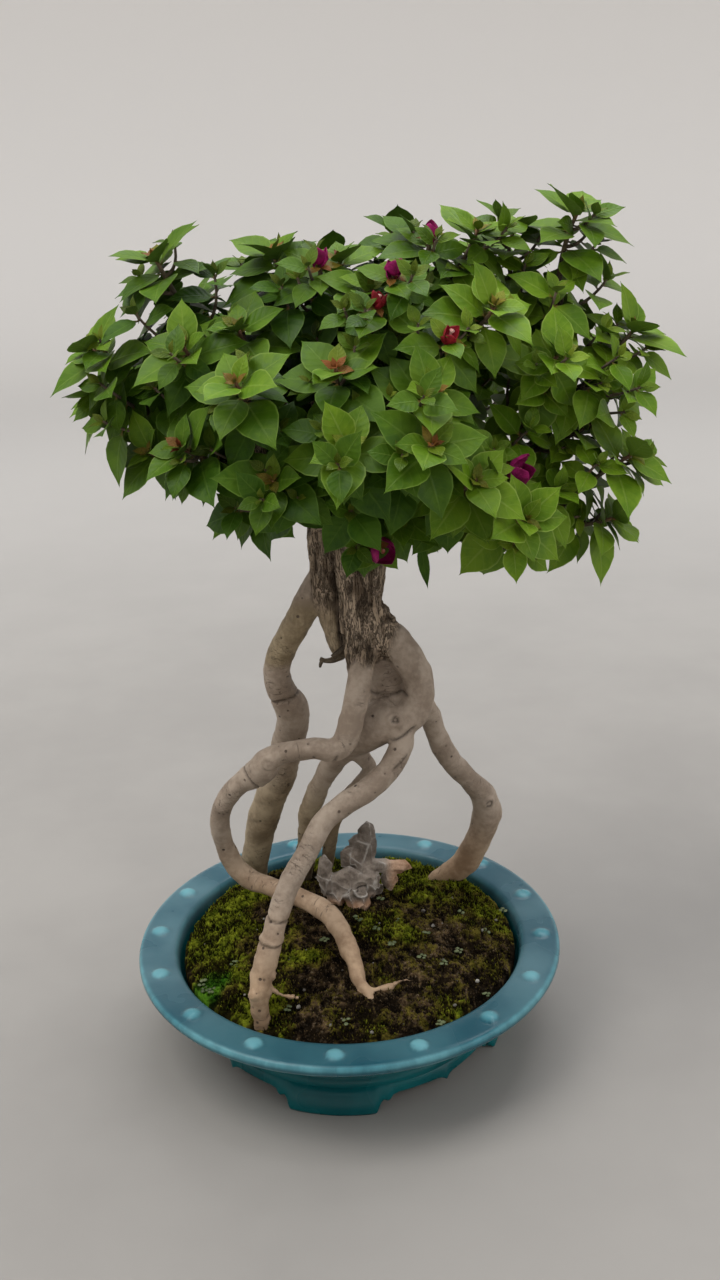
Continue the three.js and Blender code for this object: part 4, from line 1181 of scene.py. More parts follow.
# %% Finish of the wood
def wood_finish():
    """Pale smooth root that turns peach near the soil, and dark furrowed bark above it, with painted shade at
    the back of the roots, in creases, and in the bark's furrows and fissures.
    """
    finish, tree, place = new_finish("bark_and_root", Specular_IOR_Level=0.3)
    bark = read(tree, "bark")
    axes = add(tree, "ShaderNodeSeparateXYZ", {0: place}).outputs
    mask = mottled(tree, place, 42)
    root = mixed(tree, mask, (0.255, 0.195, 0.145), (0.395, 0.32, 0.25))
    # Painted shade on the roots at the back, low down and behind the arc; the lower lobe takes this darker
    # tone too.
    stained = mixed(tree, mask, (0.19, 0.14, 0.08), (0.34, 0.268, 0.165))
    root = mixed(tree, read(tree, "stain"), root, stained)
    fresh = mixed(tree, mask, (0.3, 0.19, 0.11), (0.48, 0.33, 0.205))
    # The peach near the soil is left out where painted shade lies.
    low = times(tree, spread(tree, axes["Z"], 0.105, 0.185, 0.9, 0.0), read(tree, "clean"))
    root = mixed(tree, low, root, fresh)
    along = times(tree, read(tree, "along"), 0.55)
    slow = [times(tree, axes[axis], 55.0) for axis in ("X", "Y")]
    ringed = add(tree, "ShaderNodeCombineXYZ", {0: along, 1: slow[0], 2: slow[1]}).outputs[0]
    ring = noise(tree, ringed, 1.0, 0.0)
    off_level = calc(tree, "ABSOLUTE", calc(tree, "SUBTRACT", ring, 0.5))
    crack = spread(tree, off_level, 0.003, 0.02, 0.6, 0.0)
    crack = times(tree, crack, spread(tree, noise(tree, place, 28, 1.0), 0.53, 0.6))
    root = mixed(tree, crack, root, (0.09, 0.062, 0.042))
    dots = add(tree, "ShaderNodeTexVoronoi", {"Vector": place, "Scale": 105.0}).outputs[0]
    pit = spread(tree, dots, 0.09, 0.16, 0.85, 0.0)
    pit = times(tree, pit, spread(tree, noise(tree, place, 24, 1.0), 0.44, 0.52))
    root = mixed(tree, pit, root, (0.06, 0.04, 0.028))
    # Painted shade: the bark is darker in its furrows and near black in its fissures.
    furrow = mixed(tree, mask, (0.095, 0.066, 0.042), (0.2, 0.146, 0.098))
    ridge = mixed(tree, mask, (0.26, 0.19, 0.128), (0.49, 0.38, 0.272))
    rough_bark = mixed(tree, spread(tree, read(tree, "crest"), -0.5, 0.6), furrow, ridge)
    tall = add(tree, "ShaderNodeMapping", {"Vector": place, "Scale": (1, 1, 0.16)}).outputs[0]
    values = {"Vector": tall, "Scale": 380.0, "Detail": 4.0, "Roughness": 0.65, "Distortion": 0.7}
    grain = add(tree, "ShaderNodeTexNoise", values).outputs[0]
    fissure = spread(tree, calc(tree, "ABSOLUTE", calc(tree, "SUBTRACT", grain, 0.5)), 0.0, 0.06, 1.0, 0.0)
    fissure = times(tree, fissure, bark)
    rough_bark = mixed(tree, times(tree, fissure, 0.8), rough_bark, (0.024, 0.015, 0.009))
    colour = mixed(tree, bark, root, rough_bark)
    # Painted shade in the creases, the groove by the lobe, the knots' rings and under the scars.
    crease = times(tree, read(tree, "crease"), 0.8)
    colour = mixed(tree, crease, colour, (0.03, 0.019, 0.012))
    fine = times(tree, noise(tree, place, 420, 4.0, 0.65), spread(tree, bark, 0, 1, 0.3, 1.0))
    fine = calc(tree, "SUBTRACT", fine, calc(tree, "ADD", crack, pit))
    fine = bumped(tree, calc(tree, "SUBTRACT", fine, times(tree, fissure, 1.6)), 0.0009)
    to_shader(tree, Base_Color=colour, Roughness=spread(tree, bark, 0, 1, 0.62, 0.92), Normal=fine)
    return finish


# %% Set up the wood
WOOD_STEP = 3.0
WOOD_SIDES = 22
WOOD_UNEVEN = 0.05
WOOD_VOXEL = 1.77
WOOD_SMOOTHING = 4
INNER_CHANGE = np.array([-0.5, 0, 0, 2.2])
LINES = {name: smooth_line(rows, WOOD_STEP) for name, rows in {**ROOTS, **FINE_ROOTS, **LIMBS}.items()}
LINES["inner"] = LINES["inner"] + INNER_CHANGE
parts = [tube(line, WOOD_SIDES, WOOD_UNEVEN, k) for k, line in enumerate(LINES.values())]
skin = joined_skin(*put_together(parts), WOOD_VOXEL, WOOD_SMOOTHING)
places, normals, faces = skin_arrays(skin)
bark_share, along_line = surface_story(places)
wood_places = places + normals * wood_relief(places, bark_share)[:, None]
WOOD = wood_finish()
wood = new_piece("roots_trunk_and_limbs", wood_places, faces, [WOOD])
# The dark lines are painted shade in creases, grooves, knot rings and under scars.
scar_foot = ring_lines(places + np.array([0, 0, 1.6]), SCARS)
dark_lines = [ring_lines(places, CREASES), lobe_groove(places), knot_ring(places), scar_foot]
# Painted shade: roots at the back, lower down, and the inner root behind the arc are darkened.
in_shade = ease(8, 40, places[:, 1]) * ease(60, 40, places[:, 0])
behind = ease(4, 12, places[:, 1]) * ease(20, 28, places[:, 0]) * ease(56, 48, places[:, 0])
behind = behind * ease(290, 304, places[:, 2]) * ease(392, 370, places[:, 2])
low_shade = 0.85 * in_shade * ease(250, 180, places[:, 2])
give_values(
    wood, bark=bark_share, along=along_line, crest=furrows(places),
    crease=np.clip(np.max(dark_lines, axis=0), 0, 1),
    stain=np.max([low_shade, behind, on_lobe(places)], axis=0), clean=1 - in_shade,
)
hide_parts("tree")
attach(wood, "root")
print("wood:", count(wood), "triangles")

# %% [markdown]
# ## Where the shoots stand
#
# Each leafy shoot ends at a measured tip and leaves a limb at a known share of its length. The
# twig between them bends so that its end faces outward and up to the light. The rule is the
# same one that placed the solids, so the finer leaves lie where the solids lie.

# %% Tips of the shoots
SPRAYS = [
    ("top_left", -121, 10, 652, "left_main", 1), ("left_tip", -170, -10, 592, "left_low", 1),
    ("left_front", -98, -50, 596, "left_main", 0.62), ("left_upper", -60, -40, 607, "left_main", 0.5),
    ("bright_left", -58, -110, 580, "left_front_limb", 1), ("crest_left", -35, 10, 653, "middle", 1),
    ("crest_middle", 13, 0, 647, "middle", 0.8), ("crest_front", 33, -35, 633, "middle_right", 0.5),
    ("front_upper", 8, -95, 585, "front_limb", 0.9), ("front_bright", 15, -130, 539, "front_limb", 0.55),
    ("front_right", 72, -105, 569, "front_limb", 1),
    ("front_low_right", 70, -135, 540, "front_limb", 0.75),
    ("yellow", 101, -105, 508, "right_low", 0.5), ("bright_right", 136, -95, 476, "right_low", 0.76),
    ("right_low_tip", 221, -40, 507, "right_low", 1), ("right_inner", 195, -10, 524, "right_main", 0.42),
    ("right_tip", 228, 5, 590, "right_side", 1), ("top_right", 187, 20, 674, "right_main", 1),
    ("crest_right", 142, 35, 661, "right_main", 0.86), ("crest_peak", 112, 2, 664, "middle_right", 1),
    ("middle_right", 118, -60, 618, "middle_right", 0.7),
    ("low_left", -102, -75, 531, "left_front_limb", 0.7), ("left_drop", -174, 20, 553, "left_low", 0.8),
    ("left_bud", -38, -104, 512, "left_front_limb", 0.36),
    ("left_under", -132, -28, 518, "left_low", 0.55), ("right_under", 211, -34, 458, "right_low", 0.9),
    ("front_under", 48, -66, 478, "front_limb", 0.3),
    ("left_skirt", -66, -34, 482, "left_front_limb", 0.3),
    ("right_front", 166, -45, 583, "right_main", 0.66),
    ("back_left_low", -150, 78, 560, "back_left", 1), ("back_left", -104, 92, 612, "back_left", 0.9),
    ("back_middle_left", -52, 100, 640, "back", 1), ("back_middle", 6, 96, 642, "back", 0.86),
    ("back_middle_right", 60, 84, 655, "back_right", 0.7),
    ("back_right", 116, 92, 640, "back_right", 1),
    ("back_right_side", 164, 78, 600, "back_right", 0.94),
    ("back_low_left", -78, 140, 566, "back_left", 0.5),
    ("back_low_middle", -12, 152, 580, "back", 0.76),
    ("back_low_right", 56, 146, 582, "back", 0.6),
    ("back_side_right", 122, 136, 560, "back_right", 0.76),
]

BLOOMS = [
    ("bloom_top_left", -1, -24, 646, "middle", 0.9), ("bloom_top_pink", 49, -56, 640, "middle_right", 0.6),
    ("bloom_top_red", 38, -70, 622, "middle_right", 0.4), ("bloom_crest", 78, -6, 660, "middle_right", 0.94),
    ("bloom_red", 84, -84, 600, "middle_right", 0.78), ("bloom_right", 130, -72, 503, "right_main", 0.4),
    ("bloom_low", 34, -66, 450, "front_limb", 0.2),
]
BLOOM_SIZES = [0.72, 0.72, 0.66, 0.66, 0.6, 1, 1]

# %% Twigs
CROWN_CENTRE = np.array([10.0, 0, 485])
SHOOT_LENGTH = 78
BLOOM_STALK = 16
SHOOT_SHARE = 0.72
SHOOT_BASE = 2.1
SHOOT_TIP = 1.3
TWIG_BASE = 3.2
SEAT_GAP = 0.4


def unit(v):
    """A direction of length one."""
    return v / np.linalg.norm(v)


def limb_point(limb, share):
    """The place and radius on a limb's straight spans at a share of its points."""
    rows = np.array(LIMBS[limb], float)
    along = min(share, 0.96) * (len(rows) - 1)
    k = min(int(along), len(rows) - 2)
    return rows[k] + (rows[k + 1] - rows[k]) * (along - k)


def twig_ends(row):
    """Start, handle and tip of a twig; the handle lies back from the tip against its facing."""
    *tip, limb, share = row[1:]
    tip = np.array(tip, float)
    start = limb_point(limb, share)
    facing = unit(tip - CROWN_CENTRE) * 0.75 + np.array([0, 0, 0.35])
    handle = tip - 0.45 * np.linalg.norm(tip - start[:3]) * unit(facing)
    return start[:3], handle, tip, min(start[3] * 0.7, TWIG_BASE)


def on_twig(ends, u):
    """The bent line: (1 - u)^2 start + 2 u (1 - u) handle + u^2 tip."""
    u = np.asarray(u, float)[..., None]
    return (1 - u) ** 2 * ends[0] + 2 * u * (1 - u) * ends[1] + u**2 * ends[2]


def twig_length(ends):
    """Length of the twig, as the sum of 200 short spans."""
    return np.linalg.norm(np.diff(on_twig(ends, np.linspace(0, 1, 201)), axis=0), axis=1).sum()


# %% Shoots
def twig_point(ends, length, down):
    """The place and direction on the bent twig at a distance below its tip."""
    u = 1 - down / length
    slope = 2 * (1 - u) * (ends[1] - ends[0]) + 2 * u * (ends[2] - ends[1])
    return on_twig(ends, u), unit(slope)


def rods_of(places, radii):
    """Straight spans of a line: where each starts, its span, its greater radius."""
    return np.column_stack([places[:-1], np.diff(places, axis=0), np.maximum(radii[:-1], radii[1:])])


def make_shoot(row):
    """A leafy shoot: its twig, where it starts to bear leaves, and its stem in two spans."""
    ends = twig_ends(row)
    length = twig_length(ends)
    wanted = BLOOM_STALK if row[0].startswith("bloom") else SHOOT_LENGTH
    start = 1 - min(wanted / length, SHOOT_SHARE)
    stem = on_twig(ends, np.linspace(start + SEAT_GAP / length, 1, 3))
    twig = on_twig(ends, np.array([0, start]))
    rods = rods_of(stem, np.linspace(SHOOT_BASE, SHOOT_TIP, 3))
    wood_rod = rods_of(twig, np.array([ends[3], SHOOT_BASE]))
    bent = on_twig(ends, np.linspace(0, 1, 9))
    return {
        "name": row[0], "ends": ends, "start": start, "length": length * (1 - start),
        "rods": rods, "wood": wood_rod, "whole": length,
        "bent": rods_of(bent, np.linspace(ends[3], SHOOT_TIP, 9)),
    }


SHOOTS = [make_shoot(row) for row in BLOOMS + SPRAYS]
ROOT_AND_LIMB_RODS = [
    rods_of(np.array(rows, float)[:, :3], np.array(rows, float)[:, 3])
    for rows in {**ROOTS, **LIMBS}.values()
]
WOOD_RODS = ROOT_AND_LIMB_RODS + [shoot["wood"] for shoot in SHOOTS]
print("shoots:", len(SHOOTS))

# %% [markdown]
# ## Placing leaves
#
# Leaves grow from the stem one by one, each turned 137.5 degrees from the one above. The lower a
# leaf stands, the larger it is and the further it droops. A leaf that would touch another shoot
# tries small turns, tilts and sizes until it is clear, as leaves grow round each other.

# %% A blade and what it touches
LEAF_LENGTH = 47
LEAF_WIDTH = 0.63
LEAF_FOLD = 0.08
BRACT_LENGTH = 20
BRACT_WIDTH = 0.86
CLEARANCE = 2.2
NEAR_BLADES = 54
NEAR_RODS = 60
GOLDEN_TURN = 137.5
OLD_FROM = 30
NUMBERS_EACH = 60
LIGHT = np.array([-0.15, -0.75, 0.65])
SAMPLE_ALONG = np.repeat(np.arange(1, 11) / 10, 7)
SAMPLE_ASIDE = np.tile(np.arange(-3, 4) / 3, 10)


def outline(t):
    """Width share along a blade: straight from 0.1 to 1 at 0.34, to 0.68 at 0.68, then to 0."""
    return np.maximum(np.interp(t, [0, 0.34, 0.68, 1], [0.1, 1, 0.68, 0]), 0)


def make_blade(root, way, axis, length, width, droop):
    """A blade from its root along way, with its face turned to the stem's axis and the light."""
    face = axis + LIGHT * 0.9
    up = unit(face - way * face.dot(way))
    side = np.cross(way, up)
    blade = {"root": root, "way": way, "up": up, "side": side}
    blade.update(length=length, width=width, droop=droop)
    aside = SAMPLE_ASIDE * outline(SAMPLE_ALONG) * width / 2
    blade["samples"] = blade_place(blade, SAMPLE_ALONG, aside)
    blade["middle"] = blade_place(blade, np.array([0.5]), np.array([0.0]))[0]
    return blade


def blade_place(blade, t, aside, lift=0.0):
    """root + way L t + side a + up (0.08 |a| - droop L t^2 + lift)."""
    rise = LEAF_FOLD * np.abs(aside) - blade["droop"] * blade["length"] * t * t + lift
    along = blade["length"] * t
    return (
        blade["root"] + along[..., None] * blade["way"] + aside[..., None] * blade["side"]
        + np.asarray(rise)[..., None] * blade["up"]
    )


def hits(samples, root, way, side, up, length, width, droop, room):
    """Whether samples come within room of a blade; every blade value may be a stack."""
    away = samples - root[..., None, :]
    t = (away * way[..., None, :]).sum(-1) / length[..., None]
    across = np.abs((away * side[..., None, :]).sum(-1))
    over = (away * up[..., None, :]).sum(-1)
    over = over + (droop * length)[..., None] * t * t - LEAF_FOLD * across
    inside = (t >= -0.07) & (t <= 1.07) & (across <= outline(t) * width[..., None] / 2 + room)
    return (inside & (np.abs(over) < room)).any()


# %% Choosing a free place
TRIES = [
    (0, 0, 1), (16, 0, 1), (-16, 0, 1), (0, 16, 1), (0, -16, 1), (30, 8, 1), (-30, 8, 1),
    (20, -18, 0.94), (-20, -18, 0.94), (46, 0, 0.92), (-46, 0, 0.92), (0, 32, 0.9), (60, 16, 0.86),
    (-60, 16, 0.86), (0, -34, 0.86), (30, 30, 0.8), (-30, 30, 0.8), (40, -36, 0.76),
]
KEYS = ("root", "way", "side", "up", "length", "width", "droop")
TAKEN = []
MIDDLES = np.zeros((6000, 3))


def keep(blade, **facts):
    """Adds a placed blade to the ones that later blades have to avoid."""
    blade.update(facts)
    MIDDLES[len(TAKEN)] = blade["middle"]
    TAKEN.append(blade)


def near_blades(middle, owner):
    """The blades of other shoots whose middles are near."""
    gaps = np.linalg.norm(MIDDLES[: len(TAKEN)] - middle, axis=1)
    return [TAKEN[k] for k in np.flatnonzero(gaps < NEAR_BLADES) if TAKEN[k]["owner"] != owner]


def stacked(blades):
    """The values of several blades, one array for each, in the order that hits takes them."""
    return [np.array([blade[key] for blade in blades]) for key in KEYS]


def blades_touch(blade, others, room, part=slice(None)):
    """Whether some samples of a blade come near other blades, or theirs near it."""
    if not others:
        return False
    if hits(blade["samples"][part][None], *stacked(others), room):
        return True
    theirs = np.array([other["samples"][part] for other in others]).reshape(-1, 3)
    return hits(theirs, *[np.asarray(blade[key]) for key in KEYS], room)


def touches_rods(samples, rods, room):
    """Whether samples come within room of round rods: distance to the nearest point on each."""
    away = samples[:, None] - rods[None, :, :3]
    span = rods[:, 3:6]
    t = np.clip((away * span).sum(-1) / (span * span).sum(-1), 0, 1)
    apart = np.linalg.norm(away - t[..., None] * span, axis=-1)
    return (apart < rods[:, 6] + room).any()


def is_clear(blade, shoot, room):
    """Clear of the blades of all other shoots, and of the rods that the shoot must avoid."""
    middle = blade["middle"]
    if blades_touch(blade, near_blades(middle, shoot["name"]), room):
        return False
    rods = shoot["avoid"]
    close = gap_to(rods[:, :3] + rods[:, 3:6] / 2, middle) < NEAR_RODS
    return not (close.any() and touches_rods(blade["samples"], rods[close], room))


def set_rods_to_avoid(wood, kind):
    """Each shoot keeps clear of the wood and of one kind of rods of all the other shoots."""
    for shoot in SHOOTS:
        rest = [other[kind] for other in SHOOTS if other is not shoot]
        shoot["avoid"] = np.vstack(wood + rest)


set_rods_to_avoid(WOOD_RODS, "rods")


# %% Growing one blade
def stem_point(shoot, down):
    """The place and direction on the stem's spans at a distance below the tip."""
    rods = shoot["rods"]
    left = down
    k = len(rods) - 1
    while k > 0 and left > np.linalg.norm(rods[k, 3:6]):
        left -= np.linalg.norm(rods[k, 3:6])
        k -= 1
    axis = unit(rods[k, 3:6])
    return rods[k, :3] + rods[k, 3:6] - axis * left, axis


def grow_blade(shoot, seat, wish, room, allowed=None):
    """The first of the tries that is clear, or nothing; the seat is a place and a direction."""
    root, axis = seat
    turn, lift, length, width, droop = wish
    first = np.cross([0, 0, 1.0], axis)
    if np.linalg.norm(first) < 0.2:
        first = np.array([1.0, 0, 0])
    first = unit(first - axis * first.dot(axis))
    second = np.cross(axis, first)
    for extra_turn, extra_lift, size in TRIES:
        angle = math.radians(turn + extra_turn)
        rise = math.radians(lift + extra_lift)
        flat = first * math.cos(angle) + second * math.sin(angle)
        way = unit(flat * math.cos(rise) + axis * math.sin(rise))
        blade = make_blade(root, way, axis, length * size, width * size, droop)
        blade["owner"] = shoot["name"]
        if is_clear(blade, shoot, room) and (allowed is None or allowed(blade)):
            return blade
    return None


# %% The main leaves
LEAF_ROWS = [
    (4, 0.8, 34, 0.07), (7.5, 0.96, 22, 0.1), (12, 1, 10, 0.13), (17, 1, -3, 0.15),
    (29, 1, -24, 0.16), (47, 0.96, -38, 0.14),
]
BRACT_ROWS = [(1, 1, 56, 0.1), (3, 1, 56, 0.1), (5, 1, 56, 0.1)]


def main_wish(number, k, row):
    """What leaf k of shoot number asks for: leaves differ a little, bracts are alike."""
    share, lift, droop = row[1:]
    start = chance(number) * 360
    if number < len(BLOOMS):
        size = BRACT_LENGTH * share * BLOOM_SIZES[number]
        return start + k * 120, lift, size, size * BRACT_WIDTH, droop
    length = LEAF_LENGTH * share * (0.94 + 0.12 * chance(number * 31 + k))
    tilt = lift + 10 * (chance(number * 57 + k) - 0.5)
    return start + k * GOLDEN_TURN, tilt, length, length * LEAF_WIDTH, droop


def age_at(down):
    """How old a leaf looks, from 0 at the tip to 1 where the stem is old."""
    return min(down / OLD_FROM, 1)


for number, shoot in enumerate(SHOOTS):
    rows = BRACT_ROWS if number < len(BLOOMS) else LEAF_ROWS
    for k, row in enumerate(rows):
        seat = stem_point(shoot, min(row[0], shoot["length"] * 0.9))
        blade = grow_blade(shoot, seat, main_wish(number, k, row), CLEARANCE)
        if blade is not None:
            own = number * NUMBERS_EACH + k
            keep(blade, age=age_at(row[0]), number=own, fine=False, axis=seat[1])
print("main leaves and bracts:", len(TAKEN))

# %% [markdown]
# ### Finer leaves in between
#
# The living shoot has more leaves than the solids show: a cluster of tiny reddish ones at the
# tip, and others between and below the main ones. They are grown by the same rule after all the
# main leaves, and keep clear of them and inside the solids' box.

# %% The in-between leaves
FINE_ROWS = [
    (0.2, 0.16, 68, 0.02), (0.6, 0.2, 50, 0.02), (0.9, 0.24, 42, 0.02), (1.2, 0.28, 56, 0.03),
    (1.6, 0.36, 42, 0.03), (2.2, 0.46, 40, 0.04), (3.0, 0.58, 38, 0.06), (3.9, 0.72, 38, 0.07),
    (6, 0.86, 30, 0.1), (9.5, 0.94, 18, 0.12), (14, 0.95, 6, 0.15),
    (20, 0.95, -8, 0.16), (25, 0.95, -18, 0.16), (33, 0.95, -28, 0.15), (38, 0.92, -33, 0.15),
    (43, 0.95, -36, 0.14), (52, 0.9, -42, 0.14), (58, 0.88, -45, 0.13), (64, 0.85, -30, 0.13),
    (70, 0.82, -48, 0.12), (77, 0.85, -36, 0.13), (84, 0.9, -42, 0.13), (91, 0.85, -30, 0.13),
    (99, 0.85, -40, 0.12), (108, 0.8, -34, 0.12), (118, 0.8, -40, 0.12),
]
BLOOM_LEAF_ROWS = [
    (1.5, 0.26, 0, 0.05), (2, 0.3, 20, 0.05), (2.5, 0.36, -5, 0.06), (3.2, 0.5, 26, 0.08),
    (5, 0.68, 20, 0.1), (7.5, 0.8, 10, 0.1), (10, 0.88, 0, 0.12), (14, 0.9, -12, 0.14),
    (19, 0.9, -18, 0.15), (25, 0.95, -26, 0.15), (32, 0.95, -30, 0.14), (40, 0.9, -34, 0.14),
    (49, 0.9, -40, 0.13), (59, 0.88, -42, 0.13), (70, 0.85, -44, 0.12),
]
FINE_CLEARANCE = 0.45
FINE_NUMBERS_FROM = 10
BARE_LENGTH = 12
OUTER_PART = SAMPLE_ALONG > 0.34


def own_leaves_clear(blade):
    """Clear of the outer two thirds of the leaves of its own shoot, and inside the room."""
    samples = blade["samples"]
    if (samples < ROOM_LOW + 1).any() or (samples > ROOM_HIGH - 1).any():
        return False
    own = [other for other in TAKEN if other["owner"] == blade["owner"]]
    return not blades_touch(blade, own, FINE_CLEARANCE, OUTER_PART)


def fine_wish(number, k, row):
    """As the main leaves, but turned half a step further and with more spread in size."""
    down, share, lift, droop = row
    turn = chance(number) * 360 + 68 + k * GOLDEN_TURN
    length = LEAF_LENGTH * share * (0.68 + 0.34 * chance(number * 37 + k))
    tilt = lift + 14 * (chance(number * 61 + k) - 0.5)
    return turn, tilt, length, length * LEAF_WIDTH * np.interp(share, [0.3, 0.6], [0.74, 1]), droop


set_rods_to_avoid(ROOT_AND_LIMB_RODS, "bent")
for number, shoot in enumerate(SHOOTS):
    rows = BLOOM_LEAF_ROWS if number < len(BLOOMS) else FINE_ROWS
    for k, row in enumerate(rows):
        if row[0] > shoot["whole"] - BARE_LENGTH:
            break
        seat = twig_point(shoot["ends"], shoot["whole"], row[0])
        blade = grow_blade(shoot, seat, fine_wish(number, k, row), FINE_CLEARANCE, own_leaves_clear)
        if blade is not None:
            own = number * NUMBERS_EACH + FINE_NUMBERS_FROM + k
            keep(blade, age=age_at(row[0]), number=own, fine=True, axis=seat[1])
print("leaves and bracts so far:", len(TAKEN))

# %% [markdown]
# ### Spurs and side shoots
#
# Old limbs carry short leafy spurs all along, and their dark leaves close the crown from inside.
# The shoots branch too: a side shoot tries four turns round its shoot until its twig runs clear
# of the leaves that are already there, and then bears a small rosette of its own. A spur that
# finds room for fewer than three leaves is left out.

# %% Spurs
SPUR_SHARES = [0.3, 0.39, 0.48, 0.56, 0.64, 0.72, 0.8, 0.88, 0.95]
SPUR_LENGTH = 40
SIDE_STEPS = [17, 30, 44, 59, 75, 92]
SIDE_LENGTH = 25
SIDE_SHARE = 0.82
SPUR_BASE = 1.7
SPUR_TIP = 0.9
SPUR_NUMBERS_FROM = 4000
CROWN_FOOT = 446
FEWEST_LEAVES = 3
SPUR_ROWS = [
    (0.3, 0.3, 60, 0.03), (0.8, 0.4, 46, 0.05), (1.5, 0.5, 40, 0.06), (2.6, 0.66, 34, 0.08),
    (5, 0.84, 20, 0.12), (8.5, 0.9, 6, 0.14), (13, 0.92, -8, 0.15), (19, 0.92, -20, 0.15),
    (26, 0.9, -28, 0.14), (34, 0.85, -34, 0.13),
]


def make_spur(limb, seat, reach, number):
    """A short twig square to what bears it, leaning out from the crown's middle and up."""
    start, along = seat
    first = unit(np.cross(along, [0.3, 0.2, 1.0]))
    second = np.cross(along, first)
    turn = math.radians(number * GOLDEN_TURN)
    flat = first * math.cos(turn) + second * math.sin(turn)
    flat = unit(flat * np.array([1, 1, 0.45 if flat[2] < 0 else 1]))
    way = unit(flat + 0.35 * along + 0.45 * unit(start - CROWN_CENTRE) + np.array([0, 0, 0.25]))
    length = reach * (0.8 + 0.5 * chance(number * 19 + 3))
    ends = (start, start + flat * 0.5 * length, start + way * length, SPUR_BASE)
    return {"name": f"spur_{number}", "limb": limb, "ends": ends, "whole": twig_length(ends)}


def runs_clear(spur, owner):
    """Whether the outer part of a spur's twig misses the blades of all shoots but its own."""
    places = on_twig(spur["ends"], np.linspace(0.2, 1, 9))
    others = near_blades(places[5], owner)
    return not (others and hits(places[None], *stacked(others), 1.3))


def side_shoot(shoot, row, down, number):
    """The first of four side shoots, each turned further round, whose twig runs clear."""
    seat = twig_point(shoot["ends"], shoot["whole"], down)
    for attempt in range(4):
        spur = make_spur(row[4], seat, SIDE_LENGTH, number + 2 * attempt)
        if runs_clear(spur, shoot["name"]):
            return {**spur, "name": f"spur_{number}"}
    return None


def dress_spur(spur, number, scale, youth):
    """Grows the spur's leaves, from its tip down; one that finds room for too few is dropped."""
    spur["avoid"] = every_bend
    before = len(TAKEN)
    for k, (down, share, lift, droop) in enumerate(SPUR_ROWS):
        if down > spur["whole"] - 3:
            break
        seat = twig_point(spur["ends"], spur["whole"], down)
        wish = fine_wish(number + 60, k, (down, share * scale, lift, droop))
        blade = grow_blade(spur, seat, wish, FINE_CLEARANCE, own_leaves_clear)
        if blade is not None:
            age = 1 - youth * (1 - age_at(down))
            own = SPUR_NUMBERS_FROM + number * len(SPUR_ROWS) + k
            keep(blade, age=age, number=own, fine=True, axis=seat[1])
    if len(TAKEN) - before < FEWEST_LEAVES:
        del TAKEN[before:]
    else:
        SPURS.append(spur)


SPURS = []
tried = 0
every_bend = np.vstack(ROOT_AND_LIMB_RODS + [shoot["bent"] for shoot in SHOOTS])
for limb in LIMBS:
    for share in SPUR_SHARES:
        start = limb_point(limb, share)
        along = unit(limb_point(limb, min(share + 0.1, 0.96))[:3] - limb_point(limb, share - 0.1)[:3])
        spur = make_spur(limb, (start[:3], along), start[3] + SPUR_LENGTH, tried)
        tried += 1
        if spur["ends"][2][2] > CROWN_FOOT:
            dress_spur(spur, tried, 1, 0)
print("leaves and bracts with the limbs' spurs:", len(TAKEN))
for shoot, row in zip(SHOOTS, BLOOMS + SPRAYS):
    for down in [step for step in SIDE_STEPS if step < shoot["whole"] - BARE_LENGTH]:
        spur = side_shoot(shoot, row, down, tried)
        tried += 1
        if spur is not None:
            dress_spur(spur, tried, SIDE_SHARE, 0.7)
print("all leaves and bracts:", len(TAKEN), "on", len(SPURS), "spurs")

# %% [markdown]
# ## The shape of a leaf
#
# The leaf is egg-shaped with a drawn-out tip, on a short stalk. It keels along its midrib, its
# edges wave a little, and its tip bends down. All leaves of a shoot are worked out at once: the
# rows run along the leaf and the columns across it. The underside is a second, coarser sheet
# that shares the edge with the upper one, so each leaf is closed.

# %% Leaf surface
ROW_PLACES = np.array([-0.02, 0.07, 0.13, 0.19, 0.30, 0.44, 0.59, 0.74, 0.87, 0.95])
COLUMN_PLACES = np.array([-1, -0.5, 0, 0.5, 1])
ROWS = len(ROW_PLACES)
COLUMNS = len(COLUMN_PLACES)
STALK_END = 0.12
STALK_HALF = 0.65


def leaf_half_width(t, width):
    """Half width: sin(pi s^0.68)^(0.78 + s^3) of the width, with s from the stalk's end on."""
    s = np.clip((t - STALK_END) / (1 - STALK_END), 0, 1)
    curve = np.sin(math.pi * s**0.68) ** (0.78 + s**3)
    return np.maximum(curve * width / 2, STALK_HALF * (1 - 0.8 * s))


def leaf_lift(blade, t, c, half):
    """Keel, edge waves and bent tip, in millimetres over the plain blade."""
    phase = 2 * math.pi * chance(blade["number"] * 7 + np.sign(c))
    wave = 0.3 * np.sin(2 * math.pi * 1.4 * t + phase) * c * c * ease(0.15, 0.4, t)
    keel = 0.1 * np.abs(c) * half + 0.35 * (1 - c * c) * ease(0.1, 0.3, t)
    bend = -0.10 * blade["length"] * np.clip(t - 0.62, 0, 1) ** 2 / 0.38
    return wave + keel + bend


def leaf_points(blade):
    """Upper sheet in rows, the underside's middle line, and the tip."""
    t, c = np.meshgrid(ROW_PLACES, COLUMN_PLACES, indexing="ij")
    half = leaf_half_width(t, blade["width"])
    upper = blade_place(blade, t, c * half, leaf_lift(blade, t, c, half))
    middle = leaf_lift(blade, ROW_PLACES, 0 * ROW_PLACES, half[:, 0])
    thick = 0.5 + 0.5 * ease(0.2, 0.05, ROW_PLACES)
    under = blade_place(blade, ROW_PLACES, 0 * ROW_PLACES, middle - thick)
    end = np.array([1.0])
    tip = blade_place(blade, end, 0 * end, leaf_lift(blade, end, 0 * end, 0 * end) - 0.2)
    return np.vstack([upper.reshape(-1, 3), under, tip])


